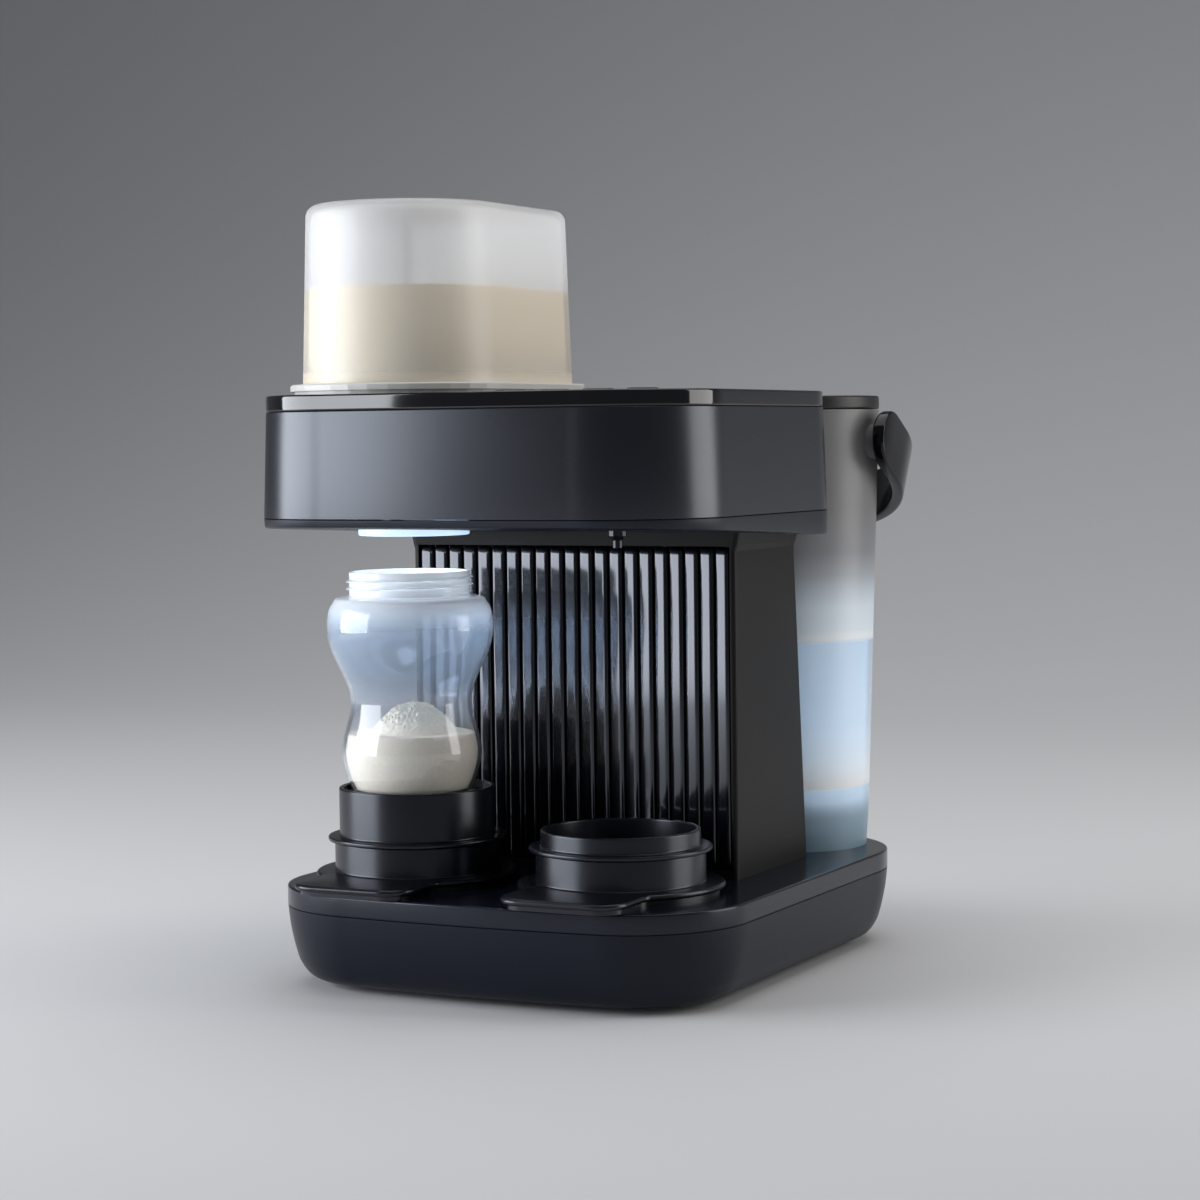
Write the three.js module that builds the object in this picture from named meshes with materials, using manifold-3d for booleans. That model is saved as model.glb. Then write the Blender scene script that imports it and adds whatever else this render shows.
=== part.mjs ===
// A countertop baby formula maker, built as separate pieces.
// Lengths are in millimetres and +Z is up. The floor is Z = 0, X = 0 is the middle of the machine,
// the two bottle stands are in front, and the tank is at the back, towards +Y.
import * as THREE from 'three';
import { mergeVertices } from 'three/addons/utils/BufferGeometryUtils.js';
import ManifoldModule from 'manifold-3d';

const wasm = await ManifoldModule();
wasm.setup();

// Clearances that several pieces share
const fitGap = 0.3;
const slideGap = 0.5;
const overrun = 1;

// Base: a tub with drawn-in sides under a flat cover that carries the deck
const baseWidth = 212;
const baseFront = 69.2;
const baseTankMargin = 3.1;
const baseBow = 2.4;
const baseFrontRadius = 50;
const baseRearRadius = 58;
const deckHeight = 43.2;
const coverBandHeight = 8.6;
const coverEdge = 0.8;
const baseWall = 2.5;
const tubFloor = 3.2;
const tubDrawIn = 17;
const coverLipHeight = 6;
const coverLipWall = 1.5;
const coverLipDrop = 3;

// Feet under the tub
const footStandOff = 2;
const footRadius = 7;
const footSeatDepth = 1;
const footSideInset = 44;
const footFrontInset = 39.2;
const footRearInset = 41;

// Screws that hold the cover down to the tub
const screwHeadRadius = 3.2;
const screwHeadHeight = 1.6;
const screwShankRadius = 1.5;
const screwLength = 14;
const screwBossRadius = 4;
const screwSideInset = 28;
const screwSideBack = 56;
const screwFrontX = 9;
const screwFrontInset = 25.2;
const screwRearInset = 19;

// Air slots in the tub floor
const ventCount = 9;
const ventPitch = 7;
const ventWidth = 3;
const ventLength = 30;
const ventCentreY = 105;

// Bottle stands: a holder with a finger tab, and an adapter that works either way up
const leftStandX = -53;
const rightStandX = 45.2;
const standY = -11.5;
const plateRadius = 44;
const plateThickness = 2.8;
const plateFootHeight = 2;
const plateFootInset = 2.5;
const tabHalfWidth = 28.3;
const tabReach = 64.2;
const tabCornerRadius = 12;
const tabNotchRadius = 5;
const holderRingRadius = 35.9;
const holderRingWall = 1.5;
const flangeRadius = 38.7;
const flangeThickness = 2;
const flangeHeight = 17.8;
const collarRadius = 33.8;
const collarWall = 2;
const tallCollar = 20.9;
const shortCollar = 7;
const restDepth = 3.3;
const restThickness = 2;
const rimRound = 0.6;
const wellDepth = 4.9;
const wellWall = 2;
const skirtDrop = 2.6;

// Column between the base and the head
const columnWidth = 157.7;
const columnFront = 33.8;
const columnRearLow = 113.2;
const columnRearHigh = 99.4;
const columnFlare = 3;
const columnFlareHeight = 5;
const columnWall = 2.5;
const columnFrontRadius = 2;
const columnRearRadius = 1.5;
const railHeight = 4;
const panelLedge = 4;
const panelLedgeDepth = 2.5;
const ribCount = 21;
const ribPitch = 7.25;
const ribDepth = 2.4;
const ribTopGap = 6;
const ribPlate = 2;
const ribTopRound = 2.4;

// Removable cover at the back of the column
const rearCoverWidth = 112;
const rearCoverLow = 16;
const rearCoverHigh = 26;
const rearCoverFlange = 3;
const rearCoverFlangeDepth = 1.5;
const louvreCount = 6;
const louvrePitch = 8;
const louvreHeight = 3;
const louvreWidth = 70;

// Head: a lower tray with a sloping underside, a cover and a glossy cap
const headWidth = 207.8;
const headFront = 80.2;
const headRear = 102;
const headBow = 2.4;
const headFrontRadius = 46;
const headRearRadius = 35;
const headDraft = 1.6;
const headFloorDrop = 8.3;
const trayDepth = 3.5;
const headCoverHeight = 44.7;
const capHeight = 6.9;
const capEdge = 0.5;
const capPlate = 3.4;
const headWall = 2.5;
const headOpeningWidth = 120;
const headOpeningFront = 46;
const headOpeningRear = 88;
const trayLip = 3;
const trayLipWall = 1.5;

// Powder side: light ring, chute, drive and hopper
const hopperX = -46.3;
const hopperY = -25;
const outletX = -52.5;
const outletY = -11.5;
const pocketCircle = 22;
const lightRingRadius = 24;
const lightRingBore = 13.5;
const lightRingDrop = 5.1;
const lightRingFlange = 27;
const lightRingFlangeThickness = 1.5;
const chuteRadius = 9;
const chuteTopRadius = 9;
const chuteTopStraight = 10;
const chuteWall = 1.5;
const chuteFlangeRadius = 19;
const barrelRadius = 39.5;
const barrelWall = 2.2;
const barrelFloor = 2.5;
const barrelDepth = 22;
const wheelClearance = 0.7;
const wheelHeight = 10;
const pocketCount = 8;
const pocketRadius = 6.4;
const hubRadius = 8;
const hubDrop = 6;
const keyLength = 10;
const keyWidth = 3;
const keyHeight = 7;
const keyGap = 0.4;
const couplingShaft = 2.5;
const toothSize = 1;
const gearTeeth = 22;
const pinionTeeth = 12;
const gearThickness = 3.4;
const motorRadius = 12;
const motorHeight = 15;
const motorShaft = 1.5;
const bracketWidth = 26;
const bracketFront = 16;
const bracketRear = 8;
const bracketThickness = 2.5;
const bracketLegWidth = 4;
const shutterThickness = 1.6;
const shutterHalfAngle = THREE.MathUtils.degToRad(26);
const agitatorHub = 5;
const agitatorWallGap = 5.3;
const agitatorArmWidth = 3;
const agitatorArmCount = 3;
const agitatorPinRadius = 1.6;
const agitatorPinHeight = 22;
const agitatorLift = 3;

// Hopper jar: an upside-down jar, round in front and straight behind
const jarRadius = 44.8;
const jarRearReach = 73;
const jarRearRadius = 9;
const jarHeight = 75.9;
const jarDraft = 2.4;
const jarWall = 2;
const jarTopRound = 5;
const jarLipOffset = 5.4;
const jarLipHeight = 2.8;
const jarStepOffset = 3.6;
const jarStepHeight = 1.7;
const jarSpigotHeight = 4;
const jarSpigotWall = 1.8;

// Water side: spout, heater, pump and pipes
const spoutRadius = 4;
const spoutTipRadius = 2;
const spoutBore = 1.2;
const spoutDrop = 7;
const spoutTipHeight = 3;
const spoutFlangeRadius = 8;
const spoutFlangeThickness = 1.6;
const spoutRise = 10;
const heaterX = 30;
const heaterY = 72;
const heaterRadius = 17;
const heaterLift = 34.8;
const heaterHeight = 70;
const heaterFlange = 21;
const heaterFlangeThickness = 3;
const pumpX = 30;
const pumpRadius = 11;
const pumpFront = 66;
const pumpLength = 44;
const pumpHeight = 20;
const pumpFootWidth = 18;
const pipeRadius = 3;
const pipeSides = 8;
const hoseSteps = 18;
const coldPipeSteps = 8;
const hotPipeSteps = 32;

// Tank: a stadium plan that widens upwards, with a lid and a carrying handle
const tankY = 152.4;
const tankHalfStraight = 55;
const tankLowRadius = 35.5;
const tankTopRadius = 42;
const tankHeight = 202.2;
const tankWall = 2.2;
const tankFloorLift = 10.5;
const tankFloorThickness = 2;
const tankSpigotRadius = 12.5;
const tankSpigotDrop = 6;
const tankPort = 5;
const socketWall = 2;
const socketDepth = 12;
const socketNippleRadius = 4.5;
const socketNippleLength = 5;
const lidHeight = 6.3;
const lidPlate = 2.4;
const lidSkirt = 6;
const lidSkirtWall = 1.6;
const lidEdge = 0.8;
const valveStemRadius = 3;
const valveDiscRadius = 9;
const valveDiscThickness = 1.6;
const valvePinRadius = 2;
const sealRound = 1.2;

// Tank handle: a flat strap bent round the tank, on a pivot at each end
const pivotDrop = 14.4;
const strapInside = 101.5;
const strapThickness = 5.5;
const strapWidth = 27;
const strapBend = 45;
const strapStraight = 13;
const handleFoldAngle = THREE.MathUtils.degToRad(29);
const pivotBossRadius = 8;
const pivotPinRadius = 3;
const pivotPinLength = 10;
const strapEndSkin = 1.2;

// Bottle on the left stand
const bottleFoot = 26.8;
const bottleHeight = 96.6;
const bottleWall = 1.5;
const bottleOffset = -2.2;
const pourGap = 15.7;

// Control panel on top of the head
const panelSideInset = 12.9;
const panelHopperGap = 5.8;
const panelFrontInset = 23.2;
const panelDepth = 34;
const panelThickness = 1.3;
const panelCorner = 6;
const buttonRadius = 6.5;
const buttonPitch = 20;
const buttonRowInset = 32.2;
const buttonProud = 0.8;
const buttonFlange = 1.6;
const buttonFlangeThickness = 1.4;
const buttonStemRadius = 2;
const buttonStemLength = 6;
const displayWidth = 46;
const displayDepth = 10;
const displayRowInset = 49.2;
const displaySeat = 1;
const boardThickness = 1.6;
const boardDrop = 14;
const switchRadius = 3;
const switchHeight = 1.7;
const buttonNames = ['button_power', 'button_less', 'button_more', 'button_start'];

// Electrics in the base
const inletX = -30;
const inletWidth = 24;
const inletHeight = 18;
const inletDepth = 22;
const inletLow = 9;
const inletWall = 2;
const inletPinRadius = 1.2;
const inletPinSpread = 4;
const boardX = -48;
const boardY = 112;
const boardWidth = 64;
const boardDepth = 44;
const boardStandOff = 6;
const boardPostRadius = 3;
const blockHeight = 13;

// Facets
const cornerSteps = 6;
const bowSteps = 4;
const roundSegments = 32;
const fineSegments = 44;
const smallSegments = 12;
const outlineSteps = 3;
const curveSteps = 5;

// Heights that follow from the sizes above
const bandBottom = deckHeight - coverBandHeight;
const tubFloorTop = footStandOff + tubFloor;
const coverUnderside = deckHeight - baseWall;
const wellRadius = holderRingRadius + slideGap;
const wellBottom = deckHeight - wellDepth;
const plateBottom = deckHeight + plateFootHeight;
const plateTop = plateBottom + plateThickness;
const flangeBottom = deckHeight + flangeHeight;
const bottleLow = flangeBottom + flangeThickness + tallCollar - restDepth;
const lightRingBottom = bottleLow + bottleHeight + pourGap;
const headFloorFront = lightRingBottom + lightRingDrop;
const seamHeight = headFloorFront + trayDepth;
const capLine = seamHeight + headCoverHeight;
const capTop = capLine + capHeight;
const spoutTop = headFloorFront + spoutRise;
const heaterLow = deckHeight + heaterLift;
const tankTop = deckHeight + tankHeight;
const tankFloorTop = deckHeight + tankFloorLift;
const pivotHeight = tankTop - pivotDrop;
const headSlope = headFloorDrop / (headFront + headRear);
const hopperSeat = capTop;
const lipBottom = hopperSeat + jarStepHeight;
const jarBottom = lipBottom + jarLipHeight;
const barrelBottom = hopperSeat - barrelDepth;
const barrelFloorTop = barrelBottom + barrelFloor;
const outletAngle = Math.atan2(outletY - hopperY, outletX - hopperX);
const dropX = hopperX + pocketCircle * Math.cos(outletAngle);
const dropY = hopperY + pocketCircle * Math.sin(outletAngle);
const wheelRadius = barrelRadius - barrelWall - wheelClearance;
const wheelBottom = barrelFloorTop + fitGap;
const wheelTop = wheelBottom + wheelHeight;
const shutterBottom = wheelTop + fitGap;
const agitatorArm = barrelRadius - barrelWall - agitatorWallGap;
const hubBottom = barrelBottom - hubDrop;
const pumpY = pumpFront + pumpLength;
const lidBottom = tankTop;

// Places that follow from the sizes above
const baseRear = tankY + tankLowRadius + baseTankMargin;
const footX = baseWidth / 2 - footSideInset;
const footFrontY = footFrontInset - baseFront;
const footRearY = baseRear - footRearInset;
const screwSideX = baseWidth / 2 - screwSideInset;
const screwFrontY = screwFrontInset - baseFront;
const screwRearY = baseRear - screwRearInset;
const panelLeft = hopperX + barrelRadius + panelHopperGap;
const panelRight = headWidth / 2 - panelSideInset;
const panelWidth = panelRight - panelLeft;
const panelX = (panelLeft + panelRight) / 2;
const panelY = panelFrontInset + panelDepth / 2 - headFront;
const buttonRow = buttonRowInset - headFront;
const displayRow = displayRowInset - headFront;

const basePlan = {
  halfWidth: baseWidth / 2, front: baseFront, rear: baseRear, bow: baseBow,
  frontRadius: baseFrontRadius, rearRadius: baseRearRadius,
};
const headPlan = {
  halfWidth: headWidth / 2, front: headFront, rear: headRear, bow: headBow,
  frontRadius: headFrontRadius, rearRadius: headRearRadius,
};

// Shape helpers

function arcPoints(centreX, centreY, radius, from, to, steps) {
  const points = [];
  for (let i = 0; i <= steps; i++) {
    const angle = from + ((to - from) * i) / steps;
    points.push(new THREE.Vector2(centreX + radius * Math.cos(angle),
      centreY + radius * Math.sin(angle)));
  }
  return points;
}

// A rounded rectangle seen from above, drawn in by inset, with its front edge bowed outwards
function planRing(plan, inset = 0) {
  const halfWidth = plan.halfWidth - inset;
  const front = -(plan.front - inset);
  const rear = plan.rear - inset;
  const frontRadius = Math.max(plan.frontRadius - inset, plan.frontRadius / cornerSteps);
  const rearRadius = Math.max(plan.rearRadius - inset, plan.rearRadius / cornerSteps);
  const quarter = Math.PI / 2;
  const ring = [];
  const bowHalf = halfWidth - frontRadius;
  for (let i = 1; i < bowSteps && plan.bow > 0; i++) {
    const share = (2 * i) / bowSteps - 1;
    ring.push(new THREE.Vector2(share * bowHalf, front - plan.bow * (1 - share * share)));
  }
  ring.push(...arcPoints(bowHalf, front + frontRadius, frontRadius, -quarter, 0, cornerSteps));
  ring.push(...arcPoints(halfWidth - rearRadius, rear - rearRadius, rearRadius, 0, quarter, cornerSteps));
  ring.push(...arcPoints(rearRadius - halfWidth, rear - rearRadius, rearRadius, quarter, 2 * quarter,
    cornerSteps));
  ring.push(...arcPoints(-bowHalf, front + frontRadius, frontRadius, 2 * quarter, 3 * quarter,
    cornerSteps));
  return ring;
}

// The tank's plan is the same rounded rectangle with full half-round ends
function tankRing(radius) {
  const plan = {
    halfWidth: tankHalfStraight + radius, front: radius - tankY, rear: tankY + radius, bow: 0,
    frontRadius: radius, rearRadius: radius,
  };
  return planRing(plan);
}

function tankRadiusAt(z) {
  return tankLowRadius + ((tankTopRadius - tankLowRadius) * (z - deckHeight)) / (tankTop - deckHeight);
}

// The jar's plan: a half circle in front, straight sides and rounded corners behind
function jarRing(offset) {
  const radius = jarRadius + offset;
  const corner = Math.max(jarRearRadius + offset, jarRearRadius / cornerSteps);
  const rear = hopperY + jarRearReach + offset;
  const quarter = Math.PI / 2;
  return [
    ...arcPoints(hopperX, hopperY, radius, -2 * quarter, 0, 3 * cornerSteps),
    ...arcPoints(hopperX + radius - corner, rear - corner, corner, 0, quarter, cornerSteps),
    ...arcPoints(hopperX - radius + corner, rear - corner, corner, quarter, 2 * quarter, cornerSteps),
  ];
}

// A closed mesh made into a solid; one whose faces point inwards is turned inside out
function solidFrom(geometry) {
  const bare = geometry.clone();
  bare.deleteAttribute('normal');
  bare.deleteAttribute('uv');
  const merged = mergeVertices(bare);
  const positions = merged.attributes.position.array;
  const source = merged.index.array;
  const corner = (i) => new THREE.Vector3().fromArray(positions, 3 * i);
  const kept = [];
  let volume = 0;
  for (let i = 0; i < source.length; i += 3) {
    const [a, b, c] = [source[i], source[i + 1], source[i + 2]];
    if (a !== b && b !== c && c !== a) {
      kept.push(a, b, c);
      volume += corner(a).dot(corner(b).cross(corner(c)));
    }
  }
  if (volume < 0) {
    kept.reverse();
  }
  const mesh = new wasm.Mesh({
    numProp: 3, vertProperties: new Float32Array(positions), triVerts: new Uint32Array(kept),
  });
  return new wasm.Manifold(mesh);
}

// Rings of points with as many corners each, one above another, closed by a flat end at each side
function stackSolid(levels) {
  const count = levels[0].ring.length;
  const positions = [];
  const index = [];
  for (const level of levels) {
    for (const point of level.ring) {
      positions.push(point.x, point.y, level.z);
    }
  }
  for (let k = 0; k + 1 < levels.length; k++) {
    for (let i = 0; i < count; i++) {
      const a = k * count + i;
      const b = k * count + ((i + 1) % count);
      index.push(a, b, b + count, a, b + count, a + count);
    }
  }
  const last = (levels.length - 1) * count;
  for (let i = 1; i + 1 < count; i++) {
    index.push(0, i + 1, i, last, last + i, last + i + 1);
  }
  const geometry = new THREE.BufferGeometry();
  geometry.setAttribute('position', new THREE.Float32BufferAttribute(positions, 3));
  geometry.setIndex(index);
  return solidFrom(geometry);
}

// A body turned about a vertical axis; the profile is a list of [radius, height]
function turnedSolid(profile, centreX = 0, centreY = 0, segments = roundSegments) {
  const points = profile.map(([radius, height]) => new THREE.Vector2(radius, height));
  const geometry = new THREE.LatheGeometry(points, segments);
  geometry.rotateX(Math.PI / 2);
  geometry.translate(centreX, centreY, 0);
  return solidFrom(geometry);
}

function cylinderSolid(centreX, centreY, radius, low, high, segments = smallSegments) {
  return turnedSolid([[0, low], [radius, low], [radius, high], [0, high]], centreX, centreY, segments);
}

// A cylinder that lies along X
function crossCylinder(fromX, toX, y, z, radius, segments = smallSegments) {
  const geometry = new THREE.CylinderGeometry(radius, radius, toX - fromX, segments);
  geometry.rotateZ(Math.PI / 2);
  geometry.translate((fromX + toX) / 2, y, z);
  return solidFrom(geometry);
}

// A cylinder that lies along Y
function longCylinder(x, fromY, toY, z, radius) {
  const geometry = new THREE.CylinderGeometry(radius, radius, toY - fromY, smallSegments);
  geometry.translate(x, (fromY + toY) / 2, z);
  return solidFrom(geometry);
}

function boxSolid(fromX, toX, fromY, toY, low, high) {
  const geometry = new THREE.BoxGeometry(toX - fromX, toY - fromY, high - low);
  geometry.translate((fromX + toX) / 2, (fromY + toY) / 2, (low + high) / 2);
  return solidFrom(geometry);
}

// A flat outline given thickness between two heights
function prismSolid(shape, low, high) {
  const geometry = new THREE.ExtrudeGeometry(shape,
    { depth: high - low, bevelEnabled: false, curveSegments: curveSteps });
  geometry.translate(0, 0, low);
  return solidFrom(geometry);
}

function tubeSolid(points, radius, steps) {
  const section = new THREE.Shape(arcPoints(0, 0, radius, 0, 2 * Math.PI, pipeSides).slice(1));
  const path = new THREE.CatmullRomCurve3(points.map((p) => new THREE.Vector3(...p)));
  return solidFrom(new THREE.ExtrudeGeometry(section, { steps, extrudePath: path, bevelEnabled: false }));
}

function roundedShape(halfWidth, halfDepth, radius) {
  const quarter = Math.PI / 2;
  const [x, y] = [halfWidth - radius, halfDepth - radius];
  return new THREE.Shape([
    ...arcPoints(x, y, radius, 0, quarter, outlineSteps),
    ...arcPoints(-x, y, radius, quarter, 2 * quarter, outlineSteps),
    ...arcPoints(-x, -y, radius, 2 * quarter, 3 * quarter, outlineSteps),
    ...arcPoints(x, -y, radius, 3 * quarter, 4 * quarter, outlineSteps),
  ]);
}

function plasticMaterial(colour, roughness, extra = {}) {
  return new THREE.MeshStandardMaterial({ color: colour, roughness, metalness: 0, ...extra });
}

function piece(name, solid, material) {
  const made = solid.getMesh();
  const geometry = new THREE.BufferGeometry();
  geometry.setAttribute('position', new THREE.Float32BufferAttribute(made.vertProperties, 3));
  geometry.setIndex(Array.from(made.triVerts));
  geometry.computeVertexNormals();
  const mesh = new THREE.Mesh(geometry, material);
  mesh.name = name;
  return mesh;
}

// Colours read from the photograph
const navyPlastic = 0x161a22;
const blackPlastic = 0x15151a;
const glossBlack = 0x0b0c10;
const darkSatin = 0x1c1d22;
const frostedClear = 0xdfe4e6;
const creamPlastic = 0xe9e7df;
const bottleBlue = 0xa9cdea;
const lightBlue = 0xd6ecff;
const brightSteel = 0xb8bcc0;
const boardGreen = 0x1f5a3c;
const rubberGrey = 0x55585c;
const innerWhite = 0xd8d8d4;

const machine = new THREE.Group();

// Base

// How far the tub's side is drawn in at a share of its height, as a share of the full draw-in
const tubSideShares = [[0, 1], [0.03, 0.7], [0.14, 0.42], [0.27, 0.27], [0.47, 0.16], [0.72, 0.06],
  [1, 0]];

function tubInsetAt(z) {
  const share = (z - footStandOff) / (bandBottom - footStandOff);
  for (let i = 1; i < tubSideShares.length; i++) {
    const [lowShare, lowInset] = tubSideShares[i - 1];
    const [highShare, highInset] = tubSideShares[i];
    if (share <= highShare) {
      const along = (share - lowShare) / (highShare - lowShare);
      return tubDrawIn * (lowInset + (highInset - lowInset) * along);
    }
  }
  return 0;
}

const feetPlaces = {
  foot_front_left: [-footX, footFrontY],
  foot_front_right: [footX, footFrontY],
  foot_rear_left: [-footX, footRearY],
  foot_rear_right: [footX, footRearY],
};
const screwPlaces = {
  base_screw_front: [-screwFrontX, screwFrontY],
  base_screw_left: [-screwSideX, screwSideBack],
  base_screw_right: [screwSideX, screwSideBack],
  base_screw_rear: [0, screwRearY],
};
const boardPosts = [[-1, -1], [1, -1], [-1, 1], [1, 1]].map(([sx, sy]) => [
  boardX + sx * (boardWidth / 2 - boardPostRadius), boardY + sy * (boardDepth / 2 - boardPostRadius),
]);

function baseTub() {
  const outerLevels = tubSideShares.map(([heightShare]) => {
    const z = footStandOff + heightShare * (bandBottom - footStandOff);
    return { ring: planRing(basePlan, tubInsetAt(z)), z };
  });
  const cavityLevels = outerLevels
    .filter((level) => level.z > tubFloorTop)
    .map((level) => ({ ring: planRing(basePlan, tubInsetAt(level.z) + baseWall), z: level.z }));
  cavityLevels.unshift({ ring: planRing(basePlan, tubInsetAt(tubFloorTop) + baseWall), z: tubFloorTop });
  cavityLevels.push({ ring: planRing(basePlan, baseWall), z: bandBottom + overrun });
  let tub = stackSolid(outerLevels).subtract(stackSolid(cavityLevels));
  for (const [x, y] of Object.values(feetPlaces)) {
    const seatTop = footStandOff + footSeatDepth;
    tub = tub.subtract(cylinderSolid(x, y, footRadius + fitGap, footStandOff - overrun, seatTop,
      2 * smallSegments));
  }
  for (const [x, y] of Object.values(screwPlaces)) {
    const headTop = footStandOff + screwHeadHeight;
    tub = tub.subtract(cylinderSolid(x, y, screwHeadRadius + fitGap, footStandOff - overrun, headTop));
    tub = tub.subtract(cylinderSolid(x, y, screwShankRadius + fitGap, footStandOff,
      tubFloorTop + overrun));
  }
  for (let i = 0; i < ventCount; i++) {
    const x = (i - (ventCount - 1) / 2) * ventPitch;
    const halfSlot = ventWidth / 2;
    const slot = boxSolid(
      x - halfSlot, x + halfSlot, ventCentreY - ventLength / 2, ventCentreY + ventLength / 2,
      footStandOff - overrun, tubFloorTop + overrun,
    );
    tub = tub.subtract(slot);
  }
  for (const [x, y] of boardPosts) {
    const post = cylinderSolid(x, y, boardPostRadius, tubFloorTop - overrun, tubFloorTop + boardStandOff);
    tub = tub.add(post);
  }
  const inletHole = boxSolid(
    inletX - inletWidth / 2 - fitGap, inletX + inletWidth / 2 + fitGap,
    baseRear - inletDepth, baseRear + overrun,
    inletLow - fitGap, inletLow + inletHeight + fitGap,
  );
  return tub.subtract(inletHole);
}

// The cover has a well under each stand, a socket for the tank and a boss over each screw
function baseCover() {
  let cover = stackSolid([
    { ring: planRing(basePlan), z: bandBottom },
    { ring: planRing(basePlan), z: deckHeight - coverEdge },
    { ring: planRing(basePlan, coverEdge), z: deckHeight },
  ]);
  cover = cover.subtract(stackSolid([
    { ring: planRing(basePlan, baseWall), z: bandBottom - overrun },
    { ring: planRing(basePlan, baseWall), z: coverUnderside },
  ]));
  const lipInset = baseWall + fitGap + tubInsetAt(bandBottom - coverLipDrop);
  const lip = stackSolid([
    { ring: planRing(basePlan, lipInset), z: bandBottom - coverLipDrop },
    { ring: planRing(basePlan, lipInset), z: bandBottom },
    { ring: planRing(basePlan, baseWall - fitGap), z: bandBottom },
    { ring: planRing(basePlan, baseWall - fitGap), z: bandBottom - coverLipDrop + coverLipHeight },
  ]);
  const lipBore = stackSolid([
    { ring: planRing(basePlan, lipInset + coverLipWall), z: bandBottom - coverLipDrop - overrun },
    { ring: planRing(basePlan, lipInset + coverLipWall), z: deckHeight },
  ]);
  cover = cover.add(lip.subtract(lipBore));
  for (const [x, y] of Object.values(screwPlaces)) {
    cover = cover.add(cylinderSolid(x, y, screwBossRadius, tubFloorTop, coverUnderside + overrun));
  }
  for (const x of [leftStandX, rightStandX]) {
    cover = cover.add(cylinderSolid(x, standY, wellRadius + wellWall, wellBottom - wellWall,
      deckHeight - coverEdge, roundSegments));
    cover = cover.subtract(cylinderSolid(x, standY, wellRadius, wellBottom, deckHeight + overrun,
      roundSegments));
  }
  const socketBottom = deckHeight - socketDepth;
  const socketRadius = tankSpigotRadius + 2 * sealRound + fitGap;
  cover = cover.add(cylinderSolid(0, tankY, socketRadius + socketWall, socketBottom - socketWall,
    deckHeight - coverEdge, roundSegments));
  cover = cover.add(cylinderSolid(0, tankY, socketNippleRadius,
    socketBottom - socketWall - socketNippleLength, socketBottom));
  cover = cover.subtract(cylinderSolid(0, tankY, socketRadius, socketBottom, deckHeight + overrun,
    roundSegments));
  const nippleBore = socketNippleRadius - socketWall;
  const nippleBottom = socketBottom - socketWall - socketNippleLength;
  cover = cover.subtract(cylinderSolid(0, tankY, nippleBore, nippleBottom - overrun,
    socketBottom + overrun));
  for (const [x, y] of Object.values(screwPlaces)) {
    const holeTop = footStandOff + screwHeadHeight + screwLength + fitGap;
    cover = cover.subtract(cylinderSolid(x, y, screwShankRadius + fitGap, tubFloorTop - overrun,
      holeTop));
  }
  const passage = boxSolid(
    -headOpeningWidth / 2, headOpeningWidth / 2, headOpeningFront, headOpeningRear,
    coverUnderside - overrun, deckHeight + overrun,
  );
  return cover.subtract(passage);
}

function footSolid(x, y) {
  const bevel = footSeatDepth / 2;
  return turnedSolid([
    [0, 0], [footRadius - bevel, 0], [footRadius, bevel],
    [footRadius, footStandOff + footSeatDepth], [0, footStandOff + footSeatDepth],
  ], x, y, 2 * smallSegments);
}

function screwSolid(x, y) {
  const headTop = footStandOff + screwHeadHeight;
  return turnedSolid([
    [0, footStandOff], [screwHeadRadius, footStandOff], [screwHeadRadius, headTop],
    [screwShankRadius, headTop], [screwShankRadius, headTop + screwLength - screwShankRadius],
    [0, headTop + screwLength],
  ], x, y, smallSegments);
}

machine.add(piece('base_tub', baseTub(), plasticMaterial(navyPlastic, 0.5)));
machine.add(piece('base_cover', baseCover(), plasticMaterial(glossBlack, 0.2)));
for (const [name, [x, y]] of Object.entries(feetPlaces)) {
  machine.add(piece(name, footSolid(x, y), plasticMaterial(rubberGrey, 0.9)));
}
for (const [name, [x, y]] of Object.entries(screwPlaces)) {
  machine.add(piece(name, screwSolid(x, y), plasticMaterial(brightSteel, 0.3, { metalness: 1 })));
}

// A socket block with two contact pins, let into the back of the tub
function mainsInlet() {
  const left = inletX - inletWidth / 2;
  const right = inletX + inletWidth / 2;
  const back = baseRear - tubInsetAt(inletLow);
  let inlet = boxSolid(left, right, back - inletDepth, back, inletLow, inletLow + inletHeight);
  inlet = inlet.subtract(boxSolid(
    left + inletWall, right - inletWall, back - inletDepth + inletWall, back + overrun,
    inletLow + inletWall, inletLow + inletHeight - inletWall,
  ));
  for (const side of [-1, 1]) {
    const x = inletX + side * inletPinSpread;
    const z = inletLow + inletHeight / 2;
    inlet = inlet.add(longCylinder(x, back - inletDepth + inletWall / 2, back - inletWall, z,
      inletPinRadius));
  }
  return inlet;
}

function powerBoard() {
  const low = tubFloorTop + boardStandOff;
  const top = low + boardThickness;
  const halfWidth = boardWidth / 2;
  const halfDepth = boardDepth / 2;
  const board = boxSolid(boardX - halfWidth, boardX + halfWidth, boardY - halfDepth, boardY + halfDepth,
    low, top);
  const block = boxSolid(boardX - halfWidth / 2, boardX, boardY - halfDepth / 2, boardY + halfDepth / 2,
    low, top + blockHeight);
  const can = cylinderSolid(boardX + halfWidth / 2, boardY, halfDepth / 4, low, top + blockHeight);
  return board.add(block).add(can);
}

machine.add(piece('mains_inlet', mainsInlet(), plasticMaterial(blackPlastic, 0.5)));
machine.add(piece('power_board', powerBoard(), plasticMaterial(boardGreen, 0.6)));

// Bottle stands

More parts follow.
